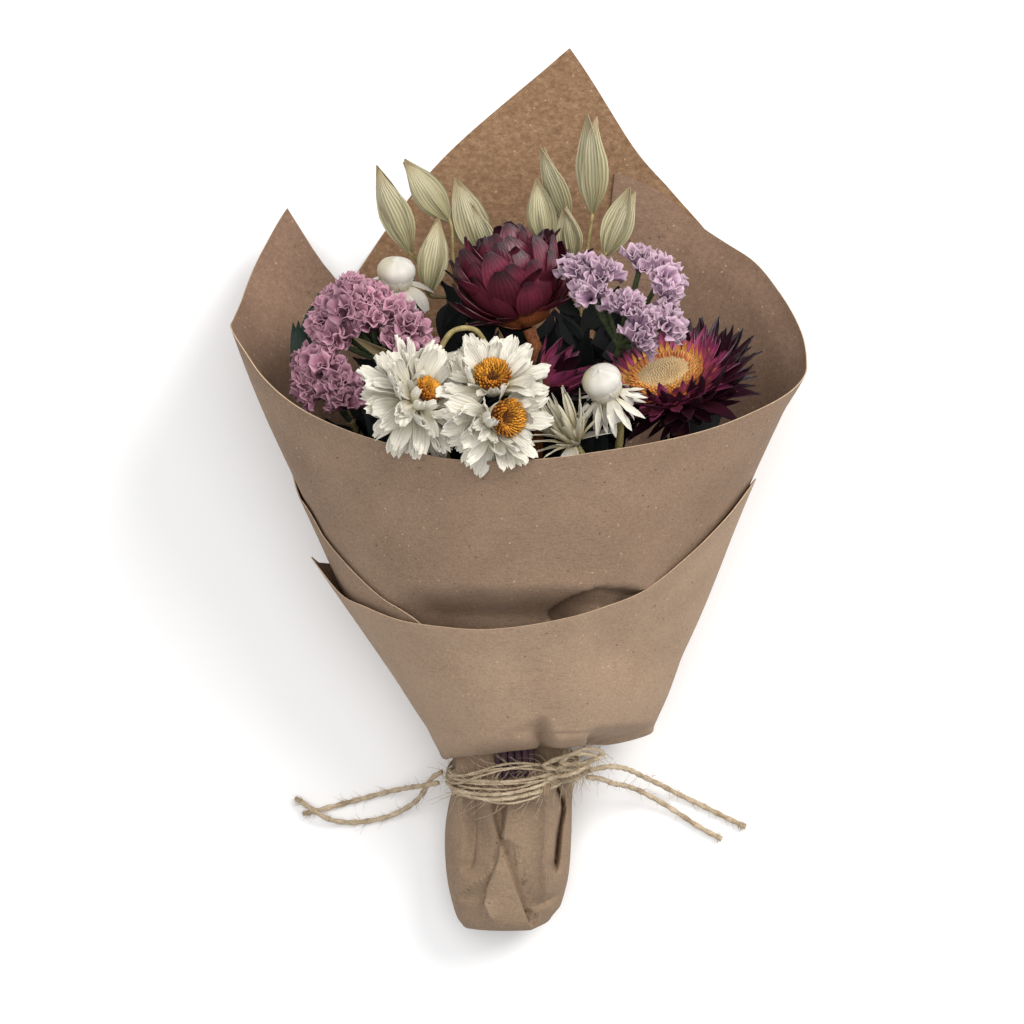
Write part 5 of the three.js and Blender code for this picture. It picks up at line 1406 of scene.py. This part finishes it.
for kinds, count, radius, height, rise, size in ((reeds, 13, 1.6, 1.0, 36, 0.8),
                                                 (reeds, 15, 1.9, 1.6, 54, 1.0),
                                                 (reeds, 12, 1.8, 2.6, 70, 1.0),
                                                 (skirt, 3, 2.0, 1.0, 2, 0.9)):
    plants += whorl(head, kinds, count, radius, height, rise, rng, size, jitter=12, roll=18, turn=19 * height)
side_head = planted("everlasting_from_side", plants)
belongs(side_head, "white_petal", "everlasting_side")

# %% [markdown]
# ## Statice
#
# Statice dries into frilly papery cups, packed so close that one sees only ruffles. A cup is a short ring of
# edges that is extruded and opened three times, and whose last rings are ruffled by pulling points up and in,
# and down and out, by turns. A few kinds are planted over many small lumps that run into each other, so the
# mass has no gaps.

# %% Frilly cups
def cup_model(name, material, wide, deep, ruffle, seed, lobes):
    """A ruffled papery cup that opens along +Z, with its root at the origin."""
    points = 6 * lobes
    root = 0.25
    clear_selection()
    bpy.ops.mesh.primitive_circle_add(vertices=points, radius=root)
    piece = bpy.context.object
    piece.name = name
    bpy.ops.object.mode_set(mode="EDIT")
    bpy.ops.mesh.select_mode(type="VERT")
    drawn_up([(root, 0.0), (0.3 * wide, 0.5 * deep), (0.66 * wide, 0.84 * deep), (wide, deep)])
    for start, amount in ((2, 0.4), (3, 1.0)):
        for step in (0, 1, 2, 3, 4, 5):
            side = math.cos(math.radians(60 * step))
            pick(piece, lambda point: point.index // points == start and point.index % 6 == step)
            bpy.ops.transform.translate(value=(0, 0, ruffle * amount * side))
            share = 1 - 0.07 * amount * side
            bpy.ops.transform.resize(value=(share, share, 1), center_override=(0, 0, 0))
    pick(piece, lambda point: point.index // points > 1)
    bpy.ops.transform.vertex_random(offset=0.38, seed=seed)
    bpy.ops.object.mode_set(mode="OBJECT")
    maps = piece.data.uv_layers.get("UVMap") or piece.data.uv_layers.new(name="UVMap")
    for loop in piece.data.loops:
        ring = min(loop.vertex_index // points, 3)
        maps.data[loop.index].uv = (ring / 3, loop.vertex_index % points / points)
    wall = piece.modifiers.new("thickness", "SOLIDIFY")
    wall.thickness = 0.12
    wall.offset = 0
    bpy.ops.object.modifier_apply(modifier=wall.name)
    bpy.ops.object.shade_smooth_by_angle(angle=math.radians(120))
    return as_model(piece, material)


# Both ramps run from a cup's root to its rim over the calyx's own colour: darker at the root as painted shade
# inside the cup, and lighter at the rim as a painted highlight on the thin ruffled edge.
pink = papery("pink_calyx", [(0.0, (78, 48, 60)), (0.4, (136, 90, 106)), (0.8, (164, 116, 134)),
                             (1.0, (190, 146, 160))],
              ribs=9, dim=0.7, bright=1.14, roughness=0.7, specular=0.2)
lilac = papery("lilac_calyx", [(0.0, (90, 70, 84)), (0.4, (148, 116, 140)), (0.8, (176, 145, 164)),
                               (1.0, (200, 174, 186))],
               ribs=9, dim=0.72, bright=1.12, roughness=0.7, specular=0.2)
dry_green = fibrous("dry_green_stalk", (40, 52, 38), (84, 92, 62), 2200.0)
pink_cups = [cup_model(f"pink_cup_{i}", pink, 2.3 + 0.3 * i, 5.0, 0.6 + 0.12 * i, 120 + i, 5)
             for i in range(4)]
lilac_cups = [cup_model(f"lilac_cup_{i}", lilac, 2.6 + 0.3 * i, 6.2, 0.7 + 0.12 * i, 130 + i, 6)
              for i in range(4)]
print("cups have", [len(cup.data.polygons) for cup in pink_cups + lilac_cups], "faces")


def lumps_of_cups(head_at, lumps, cups, each, rng):
    """Cups over the upper half of each lump and a little below it, but not where its twig comes in. They lean
    the way that the twig grows, so that many are seen from the side."""
    plants = []
    for x, y, z, size in lumps:
        middle = Vector((x, y, z))
        inwards = Vector((head_at[0] - x, head_at[1] - y, 0)).normalized()
        for k in range(each):
            high = 1 - 1.5 * (k + 0.5) / each
            flat = math.sqrt(1 - high * high)
            turn = k * GOLDEN_TURN + rng.uniform(-0.3, 0.3)
            way = Vector((flat * math.cos(turn), flat * math.sin(turn), high))
            if way.dot(inwards) > 0.7:
                continue
            frame = Vector((0, 0, 1)).rotation_difference(way - 0.9 * inwards).to_matrix().to_4x4()
            place = (Matrix.Translation(spot(middle + way * size * rng.uniform(-0.2, 0.2))) @ frame
                     @ Matrix.Rotation(rng.uniform(0, 6.28), 4, "Z")
                     @ Matrix.Rotation(rng.uniform(-0.5, 0.5), 4, "X")
                     @ Matrix.Scale(MM * size / 5.2 * rng.uniform(0.7, 1.25), 4))
            plants.append((rng.choice(cups), place, rng.random()))
    return plants


# %% [markdown]
# ## Stalks
#
# Stalks and stems are drawn as curves with a round profile and then turned into mesh. That keeps each a
# smooth tube that thins towards its end, and one helper serves the statice, the oats, the leaves and the stem
# bundle.

# %% Draw stalks
def stalks(name, material, lines, radius, thin=0.8):
    """Round stalks along lines in millimetres, as one mesh. Their ends are closed."""
    piece = empty_curve(name)
    for line in lines:
        spline = piece.data.splines.new("POLY")
        spline.points.add(len(line) - 1)
        for i, (point, place) in enumerate(zip(spline.points, line)):
            point.co = (*spot(place), 1)
            point.radius = (1 - (1 - thin) * i / len(line)) * (1 + 0.12 * noise.noise(Vector(place) * 0.5))
    piece.data.bevel_depth = radius * MM
    piece.data.bevel_resolution = 2
    piece.data.use_fill_caps = True
    meshed(piece, material)
    bpy.ops.object.shade_smooth()
    return piece


def joined(name, pieces):
    """Several objects as one."""
    clear_selection()
    for piece in pieces:
        piece.select_set(True)
    bpy.context.view_layer.objects.active = pieces[0]
    bpy.ops.object.join()
    pieces[0].name = pieces[0].data.name = name
    return pieces[0]


# %% Statice sprays
SPRAYS = {
    "statice_pink_upper": ((-33.5, 160, 50), (-0.4, 0.85, 0.3), [
        (-46, 176.8, 56, 4.6), (-42, 179.4, 56, 4.4), (-47, 172, 56, 4.8), (-42, 174.6, 60, 5.2),
        (-44.6, 167.4, 59, 4.8), (-37, 177, 58, 4.8), (-32.6, 173.2, 60, 5), (-37, 171, 61, 5.2),
        (-29, 169, 62, 5), (-25, 165, 62, 4.6), (-31, 165.4, 61, 4.8)], "pink_calyx"),
    "statice_pink_lower": ((-43, 149, 50), (-0.4, 0.6, 0.65), [
        (-51.4, 163, 56, 4.4), (-51.8, 157.6, 57, 4.4), (-48.4, 160.2, 60, 5), (-49.4, 154.6, 59, 4.6),
        (-44.4, 155.8, 62, 5), (-39.6, 154.2, 63, 4.6), (-46.8, 165, 59, 4.4),
        (-43.6, 151.6, 62, 4.6)], "pink_calyx"),
    "statice_lilac": ((23, 164, 54), (0.1, 0.6, 0.75), [
        (14.2, 184, 66, 4.2), (18.6, 181.8, 68, 4.2), (16.8, 177.6, 68, 4), (28, 184.8, 65, 4),
        (33, 182.4, 66, 4.2), (33.4, 177.6, 68, 3.8), (24.6, 174.4, 69, 3.8), (27.6, 170.6, 71, 4.4),
        (33, 170.6, 70, 4.2), (26.4, 166.6, 70, 3.8)], "lilac_calyx"),
}
rng = random.Random(71)
for name, (at, facing, lumps, slot) in SPRAYS.items():
    cups, each = (pink_cups, 19) if "pink" in name else (lilac_cups, 15)
    flowers = planted(f"{name}_cups", lumps_of_cups(at, lumps, cups, each, rng))
    fork = Vector(at) + Vector(facing).normalized() * 4
    twigs = [smooth_line([at, fork, fork.lerp(Vector(lump[:3]), 0.5) + Vector((0, 0, -1.5)), lump[:3]], 1.0)
             for lump in lumps]
    twig = stalks(f"{name}_twigs", dry_green, twigs, 0.8)
    whole = joined(f"{name}_spray", [flowers, twig])
    belongs(whole, slot, name)

# %% [markdown]
# ## Oats
#
# An oat spikelet is two long, ribbed, boat-shaped husks that part at the tip, with a slimmer one inside, on a
# hair-thin stalk. The husk's fine green ribs are what one notices, so they are in the finish, thirteen of
# them, and the boat shape comes from a strong cup. Every spikelet hangs between the two ends that the part
# gives it.

# %% Husks
husk = papery("oat_husk", [(0.0, (148, 134, 100)), (0.3, (180, 169, 134)), (0.75, (198, 187, 155)),
                           (1.0, (180, 154, 118))],
              rib_colour=(112, 114, 78), ribs=13, rib_share=0.7, dim=0.84, bright=1.1, roughness=0.45,
              specular=0.4, depth=0.00025)
HUSK_FIT = 10, 8.2, 6.4  # a spikelet's length over these is a husk's stretch along, across and in depth
HUSK = [0.12, 0.5, 0.8, 0.96, 1.0, 0.94, 0.8, 0.58, 0.32, 0.04]
husks = [petal(f"husk_{i}", husk, 10, [3.7 * w * k for w in HUSK], bend=bend, cup=cup, across=8, thick=0.05,
               crumple=0.05, seed=140 + i)
         for i, (bend, cup, k) in enumerate((([-2] * 3 + [-3] * 3 + [-5, -8, -12], -0.5, 1.0),
                                             (-34, -0.56, 0.96)))]
inner_husk = petal("inner_husk", husk, 9.4, [2.4 * w for w in HUSK], bend=-4, cup=-0.6, across=4, thick=0.05,
                   seed=7)
OATS = {
    "oat_spray_left": ((-16, 168, 24), (-0.1, 0.98, 0.12), (-17, 180, 27), [
        ((-28.4, 191.4, 34), (-35.6, 212.4, 36), 66, 40), ((-18.4, 199.2, 35), (-29.8, 213.6, 38), 150, 36),
        ((-9.8, 189.6, 29), (-17.2, 209.6, 31), 122, 36), ((-7.4, 188, 30), (-12.4, 204, 31), 62, 37),
        ((-23.6, 180.6, 38), (-22, 199.2, 40), 118, 38)]),
    "oat_spray_right": ((14, 168, 24), (0.05, 0.98, 0.12), (14.6, 182, 28), [
        ((17.4, 201.4, 32), (18.2, 225.2, 34), 32, 34), ((11.4, 198.6, 27), (5.8, 218, 29), 46, 37),
        ((6.2, 193, 26), (3, 210, 27), 118, 35), ((20.4, 190.6, 35), (27.6, 206.6, 36), 36, 29),
        ((12.6, 189.4, 31), (10.6, 202.6, 36), 80, 30)]),
}


def spikelet(base, tip, side, shut, rng):
    """Two husks back to back and a slim one between them, from base to tip. The angle side turns the spikelet
    about its length, and the larger the angle shut is, the closer the husks' tips come together."""
    length = (Vector(tip) - Vector(base)).length
    frame = facing_frame(base, Vector(tip) - Vector(base)) @ Matrix.Rotation(math.radians(side), 4, "Z")
    frame = frame @ Matrix.Rotation(math.radians(-90), 4, "Y")
    plants = []
    for k, (kind, turn) in enumerate(((husks[0], 0), (husks[1], 180))):
        place = (Matrix.Rotation(math.radians(turn), 4, "X")
                 @ Matrix.Rotation(math.radians(-shut / 2 - 5), 4, "Y")
                 @ Matrix.Translation((0, 0, 0.12))
                 @ Matrix.Diagonal([length / fit for fit in HUSK_FIT] + [1]))
        plants.append((kind, frame @ place, rng.uniform(0.2, 1)))
    place = Matrix.Rotation(math.radians(rng.uniform(60, 120)), 4, "X") @ Matrix.Scale(length / 10.5, 4)
    plants.append((inner_husk, frame @ place, 0.9))
    return plants


dry_stalk = fibrous("dry_stalk", (118, 104, 66), (176, 162, 112), 2400.0, 0.6)
rng = random.Random(83)
for name, (at, facing, fork, spikelets) in OATS.items():
    grains = [plant for base, tip, side, shut in spikelets for plant in spikelet(base, tip, side, shut, rng)]
    ears = planted(f"{name}_husks", grains)
    lines = [smooth_line([at, Vector(at) + Vector(facing) * 4, fork], 1.0)]
    for base, tip, *_ in spikelets:
        sag = Vector(fork).lerp(Vector(base), 0.55) + Vector((0, 0, 1))
        into = Vector(base) + (Vector(tip) - Vector(base)).normalized() * 2.4
        lines.append(smooth_line([Vector(at).lerp(Vector(fork), 0.8), fork, sag, base, into], 1.0))
    straw = stalks(f"{name}_stalks", dry_stalk, lines, 0.5)
    belongs(joined(f"{name}_ears", [ears, straw]), "oat_husk", name)

# %% [markdown]
# ## Leaves
#
# Two leaves show: a dark green one of five pointed blades by the left wall, and a dry, rolled one that lies
# over the pink statice like a twig. Both use the petal maker with other outlines, and the rolled one has a
# deep cup.

# %% Leaves
green = papery("green_leaf", [(0.0, (52, 66, 44)), (0.5, (40, 62, 48)), (1.0, (30, 50, 40))],
               rib_colour=(20, 34, 26), ribs=9, rib_share=0.5, dim=0.7, bright=1.2, roughness=0.6)
withered = papery("withered_leaf", [(0.0, (98, 88, 58)), (0.6, (126, 110, 76)), (1.0, (104, 86, 62))],
                  rib_colour=(60, 50, 34), ribs=7, rib_share=0.6, dim=0.75, bright=1.2, roughness=0.7,
                  depth=0.0003)
LEAF = [1.4, 3.4, 4.6, 5.2, 5.0, 4.2, 3.0, 1.6, 0.2]
BLADE_LENGTH, ROLLED_LENGTH = 16, 21
fresh = [petal(f"green_blade_{i}", green, BLADE_LENGTH, LEAF, bend=bend, cup=0.3, crumple=0.5, seed=150 + i)
         for i, bend in enumerate((-14, 10))]
rolled_leaf = petal("rolled_leaf", withered, ROLLED_LENGTH, [1.6, 2.4, 2.8, 3.0, 3.0, 2.7, 2.2, 1.4, 0.3],
                    bend=-8, cup=0.9, crumple=0.3, seed=160)
LEAVES = {
    "leaf_dark": ([(-42, 150, 34), (-46, 158, 37), (-50, 165, 39)], "green_leaf", [
        ((-54, 161, 43), (-0.2, 0, 0.95), 82, 20, fresh[0]),
        ((-54.4, 160, 43), (-0.3, 0.1, 0.9), 104, 14, fresh[1]),
        ((-51.4, 163, 41), (0.1, 0, 0.95), 70, 20, fresh[0]),
        ((-55, 158, 44), (-0.2, 0, 0.9), 92, 16, fresh[1]),
        ((-49, 158, 40), (-0.3, 0, 0.95), 118, 12, fresh[0])]),
    "leaf_dry": ([(-19, 150.5, 66), (-18.6, 155, 71), (-22, 159.4, 74)], "dry_leaf", [
        ((-20.6, 158.6, 73.6), (0, -0.35, 0.93), 153, 22.5, rolled_leaf)]),
}


def laid(root, ahead, up, size):
    """Where a blade of that size goes that leaves the root that way, with its face up."""
    turn = Matrix((ahead, up.cross(ahead), up)).transposed().to_4x4()
    return Matrix.Translation(spot(root)) @ turn @ Matrix.Scale(MM * size, 4)


for name, (stalk, slot, blades) in LEAVES.items():
    plants = []
    for root, facing, heading, length, kind in blades:
        up = Vector(facing).normalized()
        ahead = Vector((math.cos(math.radians(heading)), math.sin(math.radians(heading)), 0))
        ahead = (ahead - up * ahead.dot(up)).normalized()
        size = length / (ROLLED_LENGTH if kind is rolled_leaf else BLADE_LENGTH)
        plants.append((kind, laid(root, ahead, up, size), 0.5 + 0.1 * len(plants)))
    leaves = planted(f"{name}_blades", plants)
    stem = stalks(f"{name}_stalk", dry_green if name == "leaf_dark" else dry_stalk,
                  [smooth_line(stalk, 1.0)], 0.7)
    belongs(joined(f"{name}_spray", [leaves, stem]), slot, name)

# %% [markdown]
# ## Stem bundle
#
# Every head has its stem, and all the stems pass through the tie. They are drawn like the stalks. Most are
# straw coloured. Those of the strawflowers are stout and orange brown, and a few purple ones show in the
# hollow of the neck, where the paper is gathered back from them.

# %% Stems from the foot to each head
CARRIED = list(HEADS.values()) + [(at, facing) for at, facing, _, _ in SPRAYS.values()]
CARRIED += [(at, facing) for at, facing, _, _ in OATS.values()]
CARRIED += [((-42, 150, 34), (-4, 8, 3)), ((-19, 150.5, 66), (0.4, 4.5, 5)),
            ((-21.6, 157, 66), (1.2, 6, 4.4))]
neck = Vector((NECK["x"], NECK["y"], NECK["z"]))
in_order = sorted(CARRIED, key=lambda one: math.atan2(one[0][2] - neck.z - (one[0][1] - neck.y) * 0.33,
                                                      one[0][0] - neck.x))
INNER_SPREAD, OUTER_SPREAD = 3.4, 6.8  # how far from the middle of the tie the stems pass it
HALF_TIE = Vector((0, 2.9, 0))  # the stems run straight for this much before and after the tie
stem_lines = {"straw": [], "orange": []}
ORANGE_ENDS = [HEADS[name][0] for name in ("strawflower_center", "strawflower_lower", "strawflower_right")]
for i, (end, way) in enumerate(in_order):
    way = Vector(way).normalized()
    spread = INNER_SPREAD if i % 3 == 1 else OUTER_SPREAD
    angle = -math.pi + 2 * math.pi * (i + 0.5) / len(in_order)
    aside = Vector((math.cos(angle), 0, math.sin(angle))) * spread
    foot = Vector((-4, 24.5 + i % 4 * 1.6, 12)) + aside * 1.05
    tie = neck + aside + Vector((0, NECK["lean"] * aside.z / OUTER_SPREAD, 0))
    stop = Vector(end) - way * 0.35
    near = stop - way * 7
    above = tie + HALF_TIE
    far = above.lerp(near, 0.5) - Vector((0, 0, 2))
    line = smooth_line([foot, tie - HALF_TIE, above, far, near, stop], 2.0)
    stem_lines["orange" if end in ORANGE_ENDS else "straw"].append(line)
bent = smooth_line([(-21.6, 157, 66), (-20.8, 164, 71), (-17, 170, 73), (-12, 170.4, 72.4),
                    (-8.8, 166.6, 70)], 0.7)
orange_stem = fibrous("orange_stem", (112, 62, 38), (176, 112, 70), 1500.0, 0.5)
purple_stem = fibrous("purple_stem", (48, 32, 40), (96, 72, 82), 2400.0, 0.7)
hollow_stems = [smooth_line([(x, 67, 29.5), (x + 0.3, 61.5, 29.4), (x + 0.8, 55, 27.5)], 0.8)
                for x in (-6.6, -4.9, -3.2, -1.4, 0.4, 1.9)]
print(len(in_order), "stems pass the tie, with", len(hollow_stems), "more in the hollow and a bent one")

# %% [markdown]
# Deep in the bunch the stems keep their leaves, and the gaps between the heads lie in deep shade. The leaves
# get a nearly black finish, which paints that shade in, so hardly any paper shows between the flowers. Blades
# from the leaf maker are planted along each stem, below its head, and ten larger ones are placed where paper
# would still show.

# %% Dark leaves along the stems
# The leaves are real, but their nearly black colour is painted shade for the gaps between the heads.
shade_leaf_finish = papery("painted_shade_leaf", [(0.0, (34, 36, 32)), (0.6, (26, 30, 30)), (1.0, (30, 24, 30))],
                rib_colour=(14, 16, 16), ribs=7, rib_share=0.5, dim=0.6, bright=1.3, roughness=0.75,
                specular=0.15)
DEEP_LENGTH = 15
shade_blades = [petal(f"shade_blade_{i}", shade_leaf_finish, DEEP_LENGTH, [1.2, 3.6, 5.4, 6.2, 5.8, 4.6, 3.0, 1.2, 0.3],
                     bend=bend, cup=0.25, crumple=0.5, seed=170 + i) for i, bend in enumerate((-30, 24))]
LEAVES_FROM = 118  # the stems are bare below this


def sticks_out(tip):
    """Whether a dark leaf would reach past the flowers or through the paper's wall."""
    highest = 186 if -26 < tip.x < 34 else 176
    return tip.y > highest or abs(tip.x) > 46 or (tip.x > 22 and tip.z > 44)


rng = random.Random(97)
leafy = [[(-18, 140, 30), (-20, 160, 34), (-20, 186, 36)], [(-6, 140, 34), (-11, 164, 36), (-14, 188, 33)],
         [(12, 140, 34), (15, 164, 36), (13, 186, 32)], [(22, 140, 28), (24, 158, 31), (26, 176, 34)],
         [(17, 140, 30), (20, 156, 34), (21, 178, 35)]]
plants = []
for line in stem_lines["straw"] + stem_lines["orange"] + [smooth_line(points, 2.0) for points in leafy]:
    points = [Vector(point) for point in line]
    for i in range(len(points) - 3, 1, -1):
        if points[i].y < LEAVES_FROM:
            break
        ahead = (points[i + 2] - points[i - 1]).normalized()
        side = Vector((rng.uniform(-1, 1), rng.uniform(-0.3, 0.3), rng.uniform(-0.5, 0.5))).normalized()
        ahead = (ahead + side * 0.75).normalized()
        up = Vector((rng.uniform(-0.5, 0.5), rng.uniform(-0.4, 0.4), 1))
        up = (up - ahead * ahead.dot(up)).normalized()
        root = points[i] - Vector((0, 0, 4))
        end = root + ahead * DEEP_LENGTH
        if sticks_out(end):
            continue
        plants.append((rng.choice(shade_blades), laid(root, ahead, up, rng.uniform(0.7, 1.05)), rng.random()))
GAPS = [  # root and tip of the leaves that close the last gaps
    ((28, 124, 43), (46, 138, 40)), ((31.5, 130, 45.6), (51, 145, 41)), ((34.5, 136, 48), (54, 151, 44)),
    ((37.5, 142, 50.4), (53, 158, 47)), ((3.3, 159, 45), (8, 179, 41)), ((17, 154, 33), (20, 174, 36)),
    ((-26, 134, 42), (-42, 151, 44)), ((-30, 140, 44), (-46, 157, 45)), ((-24, 144, 48), (-40, 164, 51)),
    ((-34, 136, 42), (-50, 150, 46)),
]
for root, tip in GAPS:
    ahead = (Vector(tip) - Vector(root)).normalized()
    up = (Vector((0, 0, 1)) - ahead * ahead.z).normalized()
    plants.append((shade_blades[0], laid(root, ahead, up, 1.4), 0.5))
foliage = planted("shade_foliage", plants)
bundle = joined("stems", [
    foliage,
    stalks("straw_stems", dry_stalk, stem_lines["straw"], 1.1),
    stalks("bent_stem", dry_stalk, [bent], 0.75),
    stalks("orange_stems", orange_stem, stem_lines["orange"], 1.2, 1.4),
    stalks("purple_stems", purple_stem, hollow_stems, 0.85, 1.0),
])
belongs(bundle, "dry_stem", "stem_bundle")
print("the stems have", len(bundle.data.polygons), "faces")

# %% [markdown]
# ## Tidy the bench
#
# The models were only there to be copied, and the yarn's profile only to be swept, so they go.

# %% Remove the models
clear_selection()
for model in models + [yarn_profile]:
    bpy.data.objects.remove(model, do_unlink=True)
